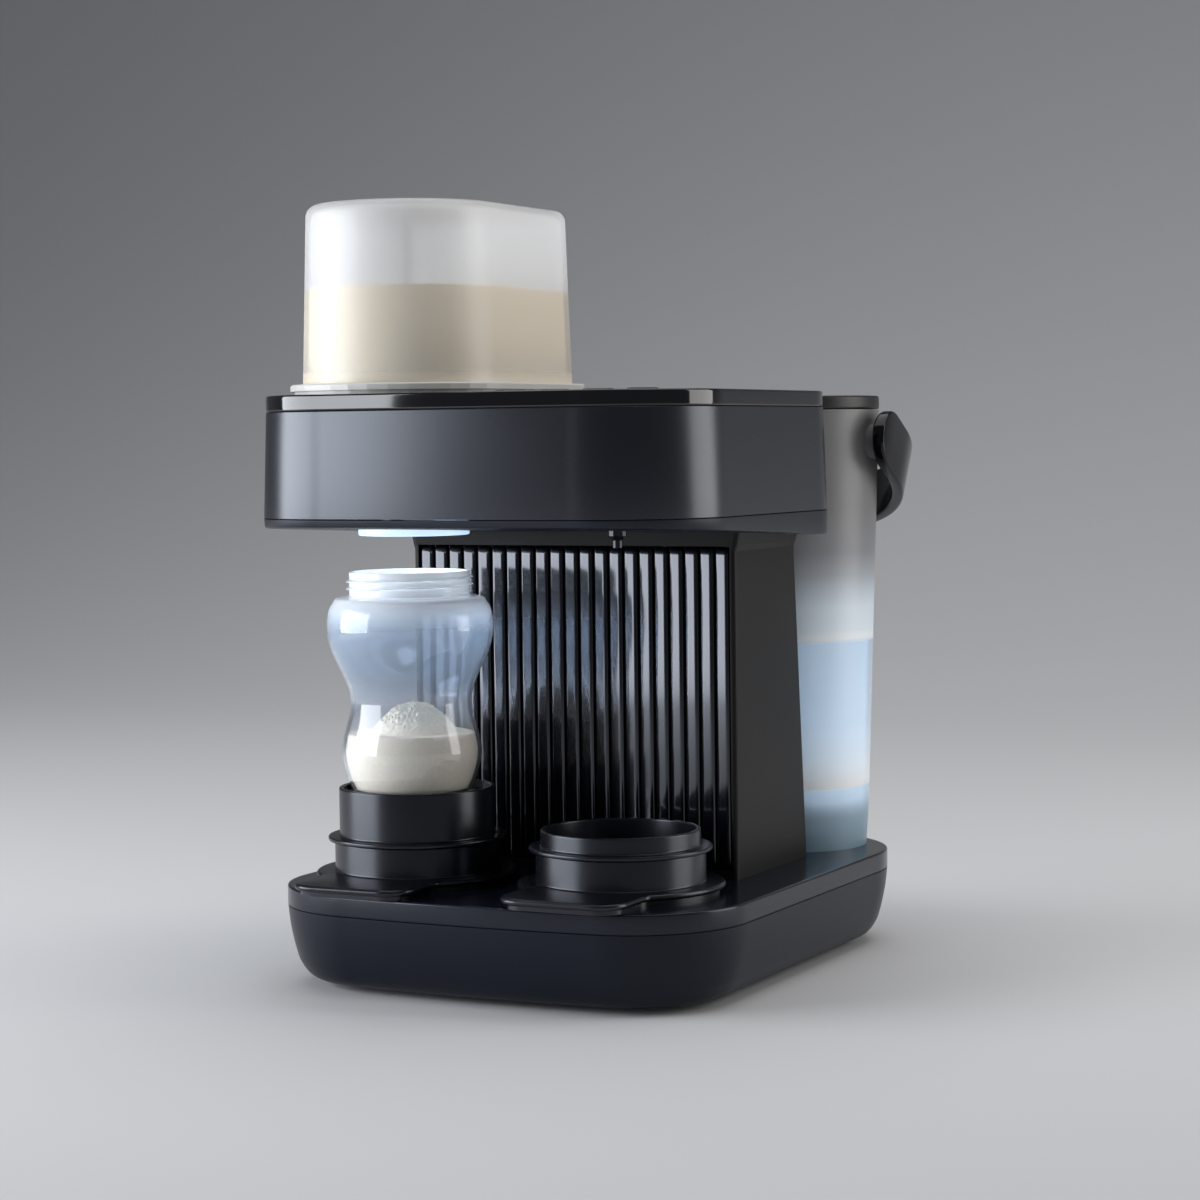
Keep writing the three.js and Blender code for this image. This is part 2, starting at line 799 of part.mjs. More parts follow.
// The holder's plate: a disc with a finger tab in front and a small hollow fillet at each side of it
function holderShape() {
  const filletX = tabHalfWidth + tabNotchRadius;
  const filletY = -Math.sqrt((plateRadius + tabNotchRadius) ** 2 - filletX ** 2);
  const meet = Math.atan2(filletY, filletX);
  const cornerY = tabCornerRadius - tabReach;
  const cornerX = tabHalfWidth - tabCornerRadius;
  const quarter = Math.PI / 2;
  return new THREE.Shape([
    ...arcPoints(0, 0, plateRadius, meet, 2 * quarter - meet, fineSegments / 2),
    ...arcPoints(-filletX, filletY, tabNotchRadius, -meet, 0, outlineSteps).slice(1),
    ...arcPoints(-cornerX, cornerY, tabCornerRadius, 2 * quarter, 3 * quarter, curveSteps),
    ...arcPoints(cornerX, cornerY, tabCornerRadius, -quarter, 0, curveSteps),
    ...arcPoints(filletX, filletY, tabNotchRadius, 2 * quarter, 2 * quarter + meet,
      outlineSteps).slice(0, -1),
  ]);
}

// The same outline drawn in all round by about the same amount
function plateLayer(inset, low, high) {
  const geometry = new THREE.ExtrudeGeometry(holderShape(), {
    depth: high - low, bevelEnabled: false, curveSegments: curveSteps,
  });
  geometry.scale((plateRadius - inset) / plateRadius, (tabReach - inset) / tabReach, 1);
  geometry.translate(0, 0, low);
  return solidFrom(geometry);
}

function holderSolid(x) {
  const ringInside = holderRingRadius - holderRingWall;
  const skirtBottom = deckHeight - skirtDrop;
  let holder = plateLayer(plateFootInset, deckHeight, plateBottom);
  holder = holder.add(plateLayer(0, plateBottom, plateTop - rimRound));
  holder = holder.add(plateLayer(rimRound, plateTop - rimRound, plateTop));
  holder = holder.add(cylinderSolid(0, 0, holderRingRadius, skirtBottom, flangeBottom, fineSegments));
  holder = holder.subtract(cylinderSolid(0, 0, ringInside, skirtBottom - overrun, flangeBottom + overrun,
    fineSegments));
  return holder.translate([x, standY, 0]);
}

// The adapter's section with its tall collar up; turned over, every height is measured down from the
// flange
function adapterSolid(x, tallUp) {
  const inside = collarRadius - collarWall;
  const middle = flangeBottom + flangeThickness / 2;
  const half = flangeThickness / 2;
  const top = half + tallCollar;
  const profile = [
    [0, top - restDepth - restThickness], [inside, top - restDepth - restThickness],
    [inside, -half - shortCollar], [collarRadius - rimRound, -half - shortCollar],
    [collarRadius, -half - shortCollar + rimRound], [collarRadius, -half],
    [flangeRadius, -half], [flangeRadius, half - rimRound], [flangeRadius - rimRound, half],
    [collarRadius, half], [collarRadius, top - rimRound], [collarRadius - rimRound, top],
    [inside, top], [inside, top - restDepth], [0, top - restDepth],
  ];
  const direction = tallUp ? 1 : -1;
  return turnedSolid(profile.map(([r, h]) => [r, middle + direction * h]), x, standY, fineSegments);
}

const standMaterial = () => plasticMaterial(blackPlastic, 0.35);
machine.add(piece('left_holder', holderSolid(leftStandX), standMaterial()));
machine.add(piece('right_holder', holderSolid(rightStandX), standMaterial()));
machine.add(piece('left_adapter', adapterSolid(leftStandX, true), standMaterial()));
machine.add(piece('right_adapter', adapterSolid(rightStandX, false), standMaterial()));

// The bottle's outside as [share of the height, share of the foot's radius], from the foot to the neck
const bottleShares = [
  [0, 0.86], [0.012, 0.94], [0.05, 1.01], [0.11, 1.09], [0.2, 1.132], [0.29, 1.07], [0.4, 0.983],
  [0.5, 1.035], [0.6, 1.205], [0.69, 1.325], [0.77, 1.347], [0.83, 1.31], [0.87, 1.21], [0.9, 0.98],
];

function bottleSolid() {
  const neck = bottleFoot * bottleShares[bottleShares.length - 1][1];
  const outside = bottleShares.map(([h, r]) => [r * bottleFoot, h * bottleHeight]);
  outside.push([neck, bottleHeight]);
  const inside = bottleShares.slice(1).map(([h, r]) => [r * bottleFoot - bottleWall,
    h * bottleHeight + bottleWall]);
  inside.push([neck - bottleWall, bottleHeight]);
  const profile = [[0, 0], ...outside, ...inside.reverse(),
    [0, bottleWall + bottleShares[1][0] * bottleHeight]];
  const placed = profile.map(([r, z]) => [r, z + bottleLow]);
  return turnedSolid(placed, leftStandX + bottleOffset, standY, roundSegments);
}

machine.add(piece('bottle', bottleSolid(),
  plasticMaterial(bottleBlue, 0.15, { transparent: true, opacity: 0.5 })));

// Column

function columnRearAt(z) {
  const share = (z - deckHeight) / (headFloorFront - deckHeight);
  return columnRearLow + (columnRearHigh - columnRearLow) * share;
}

function columnRing(z, inset, flare = 0) {
  const plan = {
    halfWidth: columnWidth / 2 + flare, front: -columnFront, rear: columnRearAt(z) + flare, bow: 0,
    frontRadius: columnFrontRadius, rearRadius: columnRearRadius,
  };
  return planRing(plan, inset);
}

// The head's underside falls towards the back
function headFloorAt(y) {
  return headFloorFront - headSlope * (y + headFront);
}

// What lies above the head's underside, raised by lift
function aboveHeadFloor(lift) {
  const reach = headWidth;
  const geometry = new THREE.BufferGeometry();
  const corners = [];
  for (const z of ['low', 'high']) {
    for (const [x, y] of [[-reach, -reach], [reach, -reach], [reach, reach], [-reach, reach]]) {
      corners.push(x, y, z === 'low' ? headFloorAt(y) + lift : capTop + reach);
    }
  }
  geometry.setAttribute('position', new THREE.Float32BufferAttribute(corners, 3));
  geometry.setIndex([0, 2, 1, 0, 3, 2, 4, 5, 6, 4, 6, 7, 0, 1, 5, 0, 5, 4, 1, 2, 6, 1, 6, 5, 2, 3, 7, 2,
    7, 6, 3, 0, 4, 3, 4, 7]);
  return solidFrom(geometry);
}

const panelLow = deckHeight + railHeight;
const panelHigh = headFloorAt(columnFront) - ribTopGap;
const rearCoverBottom = deckHeight + rearCoverLow;
const rearCoverTop = headFloorFront - rearCoverHigh;

// A flat strip that follows the column's sloping back, from depth to depth behind its face
function backStrip(halfWidth, low, high, fromDepth, toDepth) {
  const ringAt = (z) => [
    new THREE.Vector2(-halfWidth, columnRearAt(z) - toDepth),
      new THREE.Vector2(halfWidth, columnRearAt(z) - toDepth),
    new THREE.Vector2(halfWidth, columnRearAt(z) - fromDepth),
      new THREE.Vector2(-halfWidth, columnRearAt(z) - fromDepth),
  ];
  return stackSolid([{ ring: ringAt(low), z: low }, { ring: ringAt(high), z: high }]);
}

function columnShell() {
  const flareStart = headFloorFront - headFloorDrop - columnFlareHeight;
  const outer = [
    { ring: columnRing(deckHeight, 0), z: deckHeight },
    { ring: columnRing(flareStart, 0), z: flareStart },
    { ring: columnRing(flareStart + columnFlareHeight / 2, 0, columnFlare / 4),
      z: flareStart + columnFlareHeight / 2 },
    { ring: columnRing(headFloorFront, 0, columnFlare), z: headFloorFront },
  ];
  const inner = [
    { ring: columnRing(deckHeight - overrun, columnWall), z: deckHeight - overrun },
    { ring: columnRing(headFloorFront + overrun, columnWall), z: headFloorFront + overrun },
  ];
  let shell = stackSolid(outer).subtract(stackSolid(inner));
  const innerHalf = columnWidth / 2 - columnWall;
  shell = shell.subtract(boxSolid(-innerHalf, innerHalf, columnFront - overrun,
    columnFront + columnWall + overrun, panelLow, panelHigh));
  const ledgeFront = columnFront + ribDepth + ribPlate;
  for (const side of [-1, 1]) {
    const edges = [side * (innerHalf - panelLedge),
      side * (innerHalf + columnWall / 2)].sort((a, b) => a - b);
    shell = shell.add(boxSolid(edges[0], edges[1], ledgeFront, ledgeFront + panelLedgeDepth, panelLow,
      panelHigh));
  }
  shell = shell.subtract(backStrip(rearCoverWidth / 2, rearCoverBottom, rearCoverTop, -overrun,
    columnWall + overrun));
  return shell.subtract(aboveHeadFloor(0));
}

// The front panel: rounded upright ribs side by side on a thin plate
function ribbedPanel() {
  const innerHalf = columnWidth / 2 - columnWall - fitGap;
  const low = panelLow + fitGap;
  const high = panelHigh - fitGap;
  const backY = columnFront + ribDepth + ribPlate;
  const plateFront = columnFront + ribDepth;
  const shape = new THREE.Shape();
  shape.moveTo(-innerHalf, backY);
  shape.lineTo(-innerHalf, plateFront);
  const ribSteps = 7;
  for (let rib = 0; rib < ribCount; rib++) {
    const centre = (rib - (ribCount - 1) / 2) * ribPitch;
    for (let i = 0; i <= ribSteps; i++) {
      const angle = (Math.PI * i) / ribSteps;
      const x = centre - (ribPitch / 2 - ribPlate / ribSteps) * Math.cos(angle);
      shape.lineTo(x, plateFront - ribDepth * Math.sin(angle));
    }
  }
  shape.lineTo(innerHalf, plateFront);
  shape.lineTo(innerHalf, backY);
  const ribs = prismSolid(shape, low, high);
  // The ribs run out in a slope at the top and bottom
  const slope = (z, inward) => {
    const geometry = new THREE.BufferGeometry();
    const front = columnFront - overrun;
    const points = [];
    for (const x of [-innerHalf - overrun, innerHalf + overrun]) {
      points.push(x, front, z, x, plateFront, z, x, front, z + inward * (ribTopRound + overrun));
    }
    geometry.setAttribute('position', new THREE.Float32BufferAttribute(points, 3));
    geometry.setIndex([0, 2, 1, 3, 4, 5, 0, 1, 4, 0, 4, 3, 1, 2, 5, 1, 5, 4, 2, 0, 3, 2, 3, 5]);
    return solidFrom(geometry);
  };
  return ribs.subtract(slope(high, -1)).subtract(slope(low, 1));
}

function columnRearCover() {
  const halfWidth = rearCoverWidth / 2;
  let cover = backStrip(halfWidth - fitGap, rearCoverBottom + fitGap, rearCoverTop - fitGap, 0,
    columnWall + fitGap + rearCoverFlangeDepth / 2);
  const flangeNear = columnWall + fitGap;
  cover = cover.add(backStrip(
    halfWidth + rearCoverFlange, rearCoverBottom - rearCoverFlange, rearCoverTop + rearCoverFlange,
    flangeNear, flangeNear + rearCoverFlangeDepth,
  ));
  for (let i = 0; i < louvreCount; i++) {
    const z = rearCoverTop - (i + 2) * louvrePitch;
    cover = cover.subtract(boxSolid(
      -louvreWidth / 2, louvreWidth / 2, columnFront, columnRearLow + overrun, z - louvreHeight / 2,
        z + louvreHeight / 2,
    ));
  }
  return cover;
}

machine.add(piece('column_shell', columnShell(), plasticMaterial(darkSatin, 0.5)));
machine.add(piece('ribbed_panel', ribbedPanel(), plasticMaterial(blackPlastic, 0.3)));
machine.add(piece('column_rear_cover', columnRearCover(), plasticMaterial(darkSatin, 0.55)));

// Head

function headLowerShell() {
  const deep = headFloorFront - headFloorDrop - overrun;
  const draftAt = (z) => -headDraft * Math.min(1, (capLine - z) / (capLine - seamHeight));
  let tray = stackSolid([
    { ring: planRing(headPlan, draftAt(seamHeight) + headWall / 4), z: deep },
    { ring: planRing(headPlan, draftAt(seamHeight)), z: seamHeight },
  ]).intersect(aboveHeadFloor(0));
  const hollow = stackSolid([
    { ring: planRing(headPlan, draftAt(seamHeight) + headWall), z: deep },
    { ring: planRing(headPlan, draftAt(seamHeight) + headWall), z: seamHeight + overrun },
  ]).intersect(aboveHeadFloor(headWall));
  tray = tray.subtract(hollow);
  const lipOut = headWall + fitGap + draftAt(seamHeight);
  const lip = stackSolid([
    { ring: planRing(headPlan, lipOut), z: seamHeight - trayLip },
    { ring: planRing(headPlan, lipOut), z: seamHeight + trayLip },
  ]).subtract(stackSolid([
    { ring: planRing(headPlan, lipOut + trayLipWall), z: seamHeight - trayLip - overrun },
    { ring: planRing(headPlan, lipOut + trayLipWall), z: seamHeight + trayLip + overrun },
  ])).intersect(aboveHeadFloor(headWall / 2));
  const skirt = stackSolid([
    { ring: planRing(headPlan, lipOut - headWall / 2), z: deep },
    { ring: planRing(headPlan, lipOut - headWall / 2), z: seamHeight - fitGap },
  ]).subtract(stackSolid([
    { ring: planRing(headPlan, lipOut + trayLipWall), z: deep - overrun },
    { ring: planRing(headPlan, lipOut + trayLipWall), z: seamHeight },
  ])).intersect(aboveHeadFloor(headWall / 2));
  tray = tray.add(lip).add(skirt);
  tray = tray.subtract(cylinderSolid(outletX, outletY, lightRingRadius + fitGap, deep - overrun,
    seamHeight, roundSegments));
  tray = tray.subtract(cylinderSolid(rightStandX, standY, spoutRadius + fitGap, deep - overrun,
    seamHeight));
  return tray.subtract(boxSolid(
    -headOpeningWidth / 2, headOpeningWidth / 2, headOpeningFront, headOpeningRear, deep - overrun,
      seamHeight - fitGap,
  ));
}

function headCover() {
  const outer = stackSolid([
    { ring: planRing(headPlan, -headDraft), z: seamHeight },
    { ring: planRing(headPlan, 0), z: capLine },
  ]);
  const inner = stackSolid([
    { ring: planRing(headPlan, headWall - headDraft), z: seamHeight - overrun },
    { ring: planRing(headPlan, headWall - headDraft), z: seamHeight + trayLip + overrun },
    { ring: planRing(headPlan, headWall), z: capLine + overrun },
  ]);
  return outer.subtract(inner);
}

const buttonPlaces = buttonNames.map((name, i) => [name,
  panelX + (i - (buttonNames.length - 1) / 2) * buttonPitch, buttonRow]);

function headCap() {
  let cap = stackSolid([
    { ring: planRing(headPlan, 0), z: capLine },
    { ring: planRing(headPlan, 0), z: capTop - capEdge },
    { ring: planRing(headPlan, capEdge), z: capTop },
  ]);
  cap = cap.subtract(stackSolid([
    { ring: planRing(headPlan, headWall), z: capLine - overrun },
    { ring: planRing(headPlan, headWall), z: capTop - capPlate },
  ]));
  cap = cap.subtract(cylinderSolid(hopperX, hopperY, barrelRadius + slideGap, capLine, capTop + overrun,
    fineSegments));
  const recess = roundedShape(panelWidth / 2 + fitGap, panelDepth / 2 + fitGap, panelCorner);
  cap = cap.subtract(prismSolid(recess, capTop - panelThickness,
    capTop + overrun).translate([panelX, panelY, 0]));
  for (const [, x, y] of buttonPlaces) {
    cap = cap.subtract(cylinderSolid(x, y, buttonRadius + slideGap, capLine, capTop + overrun,
      roundSegments));
  }
  return cap;
}

function controlPanel() {
  let panel = prismSolid(roundedShape(panelWidth / 2, panelDepth / 2, panelCorner),
    capTop - panelThickness, capTop);
  panel = panel.translate([panelX, panelY, 0]);
  for (const [, x, y] of buttonPlaces) {
    panel = panel.subtract(cylinderSolid(x, y, buttonRadius + slideGap, capLine, capTop + overrun,
      roundSegments));
  }
  return panel.subtract(boxSolid(
    panelX - displayWidth / 2 - fitGap, panelX + displayWidth / 2 + fitGap,
      displayRow - displayDepth / 2 - fitGap,
    displayRow + displayDepth / 2 + fitGap, capTop - displaySeat, capTop + overrun,
  ));
}

function displayWindow() {
  return boxSolid(
    panelX - displayWidth / 2, panelX + displayWidth / 2, displayRow - displayDepth / 2,
      displayRow + displayDepth / 2,
    capTop - displaySeat, capTop,
  );
}

const buttonFlangeTop = capTop - capPlate - fitGap;
const stemBottom = buttonFlangeTop - buttonFlangeThickness - buttonStemLength;

function buttonSolid(x, y) {
  const top = capTop + buttonProud;
  return turnedSolid([
    [0, stemBottom], [buttonStemRadius, stemBottom],
    [buttonStemRadius, buttonFlangeTop - buttonFlangeThickness],
    [buttonRadius + buttonFlange, buttonFlangeTop - buttonFlangeThickness],
    [buttonRadius + buttonFlange, buttonFlangeTop], [buttonRadius, buttonFlangeTop],
    [buttonRadius, top - buttonProud / 2], [buttonRadius - buttonProud / 2, top], [0, top],
  ], x, y, roundSegments / 2);
}

// The board under the buttons hangs from the cap on four posts and carries a switch below each stem
function controlBoard() {
  const top = capTop - boardDrop;
  const halfWidth = panelWidth / 2;
  const halfDepth = panelDepth / 2;
  let board = boxSolid(panelX - halfWidth, panelX + halfWidth, panelY - halfDepth, panelY + halfDepth,
    top - boardThickness, top);
  for (const [, x, y] of buttonPlaces) {
    board = board.add(cylinderSolid(x, y, switchRadius, top - boardThickness / 2, top + switchHeight));
  }
  for (const [sx, sy] of [[-1, -1], [1, -1], [-1, 1], [1, 1]]) {
    const x = panelX + sx * (halfWidth - boardPostRadius);
    const y = panelY + sy * (halfDepth - boardPostRadius);
    board = board.add(cylinderSolid(x, y, boardPostRadius / 2, top - boardThickness / 2,
      capTop - capPlate));
  }
  return board;
}

machine.add(piece('head_lower_shell', headLowerShell(), plasticMaterial(navyPlastic, 0.5)));
machine.add(piece('head_cover', headCover(), plasticMaterial(navyPlastic, 0.45)));
machine.add(piece('head_cap', headCap(), plasticMaterial(glossBlack, 0.08)));
machine.add(piece('control_panel', controlPanel(), plasticMaterial(blackPlastic, 0.3)));
machine.add(piece('display_window', displayWindow(), plasticMaterial(glossBlack, 0.05)));
for (const [name, x, y] of buttonPlaces) {
  machine.add(piece(name, buttonSolid(x, y), plasticMaterial(darkSatin, 0.4)));
}
machine.add(piece('control_board', controlBoard(), plasticMaterial(boardGreen, 0.6)));

// Powder side

const ringFlangeBottom = headFloorAt(outletY - lightRingFlange) + headWall + fitGap;
const ringTop = ringFlangeBottom + lightRingFlangeThickness;

function lightRing() {
  const round = lightRingFlangeThickness / 2;
  return turnedSolid([
    [lightRingBore, lightRingBottom], [lightRingRadius - round, lightRingBottom],
    [lightRingRadius, lightRingBottom + round], [lightRingRadius, ringFlangeBottom],
    [lightRingFlange, ringFlangeBottom], [lightRingFlange, ringTop],
    [lightRingBore, ringTop], [lightRingBore, lightRingBottom],
  ], outletX, outletY, roundSegments);
}

function circleRing(x, y, radius) {
  return arcPoints(x, y, radius, 0, 2 * Math.PI, roundSegments).slice(1);
}

// The chute leads from the hopper's outlet down to the light ring's middle and rests on the ring by its
// flange
function powderChute() {
  const low = lightRingBottom + fitGap;
  const flangeTop = ringTop + lightRingFlangeThickness;
  const top = barrelBottom - fitGap;
  const path = (radius, below, above) => stackSolid([
    { ring: circleRing(outletX, outletY, chuteRadius + radius), z: low - below },
    { ring: circleRing(outletX, outletY, chuteRadius + radius), z: flangeTop },
    { ring: circleRing(dropX, dropY, chuteTopRadius + radius), z: top - chuteTopStraight },
    { ring: circleRing(dropX, dropY, chuteTopRadius + radius), z: top + above },
  ]);
  const flange = cylinderSolid(outletX, outletY, chuteFlangeRadius, ringTop, flangeTop, roundSegments);
  return path(0, 0, 0).add(flange).subtract(path(-chuteWall, overrun, overrun));
}

const keyBottom = hubBottom - keyGap;
const gearBottom = keyBottom - gearThickness;
const bracketTop = gearBottom - fitGap;
const bracketBottom = bracketTop - bracketThickness;
const gearRadius = (toothSize * gearTeeth) / 2;
const pinionRadius = (toothSize * pinionTeeth) / 2;
const pinionY = hopperY - gearRadius - pinionRadius;
const motorTop = bracketBottom;

// A toothed wheel; the tooth's edges are given as shares of the pitch, and its height in tooth sizes
const toothShares = [-0.3, -0.11, 0.11, 0.3];
const toothHeights = [-1.15, 0.85, 0.85, -1.15];

function gearSolid(teeth, low, high) {
  const pitchRadius = (toothSize * teeth) / 2;
  const shape = new THREE.Shape();
  for (let tooth = 0; tooth < teeth; tooth++) {
    toothShares.forEach((share, i) => {
      const angle = (2 * Math.PI * (tooth + share)) / teeth;
      const radius = pitchRadius + toothHeights[i] * toothSize;
      const point = [radius * Math.cos(angle), radius * Math.sin(angle)];
      if (tooth === 0 && i === 0) {
        shape.moveTo(...point);
      } else {
        shape.lineTo(...point);
      }
    });
  }
  return prismSolid(shape, low, high);
}

// The motor hangs under the bracket and turns the pinion through it
function dosingMotor() {
  return cylinderSolid(hopperX, pinionY, motorRadius, motorTop - motorHeight, motorTop, roundSegments);
}

function motorPinion() {
  const shaft = cylinderSolid(0, 0, motorShaft, motorTop + fitGap, gearBottom + gearThickness / 2);
  return gearSolid(pinionTeeth, gearBottom,
    gearBottom + gearThickness).add(shaft).translate([hopperX, pinionY, 0]);
}

function motorBracket() {
  const left = hopperX - bracketWidth / 2;
  const right = hopperX + bracketWidth / 2;
  const front = pinionY - bracketFront;
  const rear = hopperY + bracketRear;
  const legBottom = headFloorAt(front) + headWall;
  let bracket = boxSolid(left, right, front, rear, bracketBottom, bracketTop);
  for (const x of [left, right - bracketLegWidth]) {
    const leg = boxSolid(x, x + bracketLegWidth, front, front + bracketLegWidth, legBottom,
      bracketTop - bracketThickness / 2);
    bracket = bracket.add(leg);
  }
  bracket = bracket.subtract(cylinderSolid(hopperX, pinionY, motorShaft + fitGap,
    bracketBottom - overrun, bracketTop + overrun));
  return bracket.subtract(cylinderSolid(hopperX, hopperY, couplingShaft + fitGap,
    bracketBottom - overrun, bracketTop + overrun));
}

// A crossed key that stands up into the dosing wheel's hub
function crossKey(length, width, low, high) {
  const half = length / 2;
  const thin = width / 2;
  return boxSolid(-half, half, -thin, thin, low, high).add(boxSolid(-thin, thin, -half, half, low, high));
}

function driveCoupling() {
  const shaft = cylinderSolid(0, 0, couplingShaft, bracketBottom, gearBottom + gearThickness / 2);
  const key = crossKey(keyLength, keyWidth, keyBottom - gearThickness / 2, keyBottom + keyHeight);
  return gearSolid(gearTeeth, gearBottom, keyBottom).add(shaft).add(key).translate([hopperX, hopperY, 0]);
}

// The dosing wheel: a disc of round pockets over the outlet, on a hub with a crossed socket below
function dosingWheel() {
  let wheel = cylinderSolid(0, 0, wheelRadius, wheelBottom, wheelTop, roundSegments);
  wheel = wheel.add(cylinderSolid(0, 0, hubRadius, hubBottom, wheelBottom + overrun, roundSegments / 2));
  wheel = wheel.add(cylinderSolid(0, 0, agitatorHub, wheelTop - overrun,
    shutterBottom + shutterThickness + fitGap, roundSegments / 2));
  for (let i = 0; i < pocketCount; i++) {
    const angle = outletAngle + (2 * Math.PI * i) / pocketCount;
    const pocket = cylinderSolid(
      pocketCircle * Math.cos(angle), pocketCircle * Math.sin(angle), pocketRadius,
        wheelBottom - overrun, wheelTop + overrun,
    );
    wheel = wheel.subtract(pocket);
  }
  const socket = crossKey(keyLength + 2 * keyGap, keyWidth + 2 * keyGap, hubBottom - overrun,
    hubBottom + keyHeight + keyGap);
  return wheel.subtract(socket).translate([hopperX, hopperY, 0]);
}

// The agitator sits on the wheel's hub and stirs the powder above the shutter
function agitatorSolid() {
  const low = shutterBottom + shutterThickness + fitGap;
  const armTop = low + agitatorLift;
  let agitator = cylinderSolid(0, 0, agitatorHub, low, armTop + agitatorLift, roundSegments / 2);
  for (let i = 0; i < agitatorArmCount; i++) {
    const angle = (2 * Math.PI * i) / agitatorArmCount;
    let arm = boxSolid(0, agitatorArm, -agitatorArmWidth / 2, agitatorArmWidth / 2, low, armTop);
    const pin = cylinderSolid(agitatorArm - agitatorArmWidth, 0, agitatorPinRadius, low,
      low + agitatorPinHeight, pipeSides);
    arm = arm.add(pin).rotate([0, 0, THREE.MathUtils.radToDeg(angle)]);
    agitator = agitator.add(arm);
  }
  return agitator.translate([hopperX, hopperY, 0]);
}

// A wedge that keeps powder off the pocket over the outlet, held in the barrel's wall
function shutterSolid() {
  const inner = hubRadius + slideGap;
  const outer = barrelRadius - barrelWall - fitGap / 2;
  const middle = outletAngle;
  const shape = new THREE.Shape();
  shape.absarc(0, 0, outer, middle - shutterHalfAngle, middle + shutterHalfAngle, false);
  shape.absarc(0, 0, inner, middle + shutterHalfAngle, middle - shutterHalfAngle, true);
  return prismSolid(shape, shutterBottom,
    shutterBottom + shutterThickness).translate([hopperX, hopperY, 0]);
}

// The hopper's base: a barrel with the outlet in its floor, under a stepped lip of the jar's outline
function hopperBase() {
  let base = stackSolid([
    { ring: jarRing(jarStepOffset), z: hopperSeat },
    { ring: jarRing(jarStepOffset), z: lipBottom },
    { ring: jarRing(jarLipOffset), z: lipBottom },
    { ring: jarRing(jarLipOffset), z: jarBottom - rimRound },
    { ring: jarRing(jarLipOffset - rimRound), z: jarBottom },
  ]);
  const spigotOut = -jarWall - fitGap;
  base = base.add(stackSolid([
    { ring: jarRing(spigotOut), z: jarBottom - overrun },
    { ring: jarRing(spigotOut - jarDraft / cornerSteps), z: jarBottom + jarSpigotHeight },
  ]).subtract(stackSolid([
    { ring: jarRing(spigotOut - jarSpigotWall), z: jarBottom - overrun },
    { ring: jarRing(spigotOut - jarSpigotWall), z: jarBottom + jarSpigotHeight + overrun },
  ])));
  base = base.add(cylinderSolid(hopperX, hopperY, barrelRadius, barrelBottom, jarBottom, fineSegments));
  const boreRadius = barrelRadius - barrelWall;
  base = base.subtract(cylinderSolid(hopperX, hopperY, boreRadius, barrelFloorTop, jarBottom + overrun,
    fineSegments));
  base = base.subtract(cylinderSolid(hopperX, hopperY, hubRadius + slideGap, barrelBottom - overrun,
    barrelFloorTop + overrun));
  return base.subtract(cylinderSolid(dropX, dropY, pocketRadius + fitGap, barrelBottom - overrun,
    barrelFloorTop + overrun));
}

function hopperJar() {
  const top = jarBottom + jarHeight;
  const insetAt = (z) => (jarDraft * (z - jarBottom)) / jarHeight;
  const levels = [{ ring: jarRing(0), z: jarBottom }];
  const inside = [{ ring: jarRing(-jarWall), z: jarBottom - overrun }];
  const roundSteps = 4;
  for (let i = 0; i <= roundSteps; i++) {
    const angle = (Math.PI / 2) * (i / roundSteps);
    const z = top - jarTopRound + jarTopRound * Math.sin(angle);
    const drawn = jarTopRound * (1 - Math.cos(angle));
    levels.push({ ring: jarRing(-insetAt(z) - drawn), z });
    inside.push({ ring: jarRing(-insetAt(z) - jarWall - drawn), z: z - jarWall });
  }
  return stackSolid(levels).subtract(stackSolid(inside));
}

machine.add(piece('light_ring', lightRing(), plasticMaterial(lightBlue, 0.4, { emissive: lightBlue })));
machine.add(piece('powder_chute', powderChute(), plasticMaterial(innerWhite, 0.4)));
machine.add(piece('dosing_motor', dosingMotor(), plasticMaterial(brightSteel, 0.35, { metalness: 1 })));
machine.add(piece('motor_bracket', motorBracket(), plasticMaterial(brightSteel, 0.4, { metalness: 1 })));
machine.add(piece('motor_pinion', motorPinion(), plasticMaterial(innerWhite, 0.4)));
machine.add(piece('drive_coupling', driveCoupling(), plasticMaterial(innerWhite, 0.4)));
machine.add(piece('dosing_wheel', dosingWheel(), plasticMaterial(creamPlastic, 0.4)));
machine.add(piece('agitator', agitatorSolid(), plasticMaterial(creamPlastic, 0.4)));
machine.add(piece('dosing_shutter', shutterSolid(), plasticMaterial(creamPlastic, 0.4)));
machine.add(piece('hopper_base', hopperBase(), plasticMaterial(creamPlastic, 0.4)));
machine.add(piece('hopper_jar', hopperJar(),
  plasticMaterial(frostedClear, 0.45, { transparent: true, opacity: 0.6 })));

// Water side

const spoutBottom = headFloorAt(standY) - spoutDrop;

function waterSpout() {
  const flangeLow = headFloorAt(standY - spoutFlangeRadius) + headWall + fitGap;
  return turnedSolid([
    [spoutBore, spoutBottom], [spoutTipRadius, spoutBottom],
    [spoutTipRadius, spoutBottom + spoutTipHeight],
    [spoutRadius, spoutBottom + spoutTipHeight + spoutTipRadius], [spoutRadius, flangeLow],
    [spoutFlangeRadius, flangeLow], [spoutFlangeRadius, flangeLow + spoutFlangeThickness],
    [spoutRadius, flangeLow + spoutFlangeThickness], [spoutRadius, spoutTop],
    [spoutBore, spoutTop], [spoutBore, spoutBottom],
  ], rightStandX, standY, smallSegments);
}

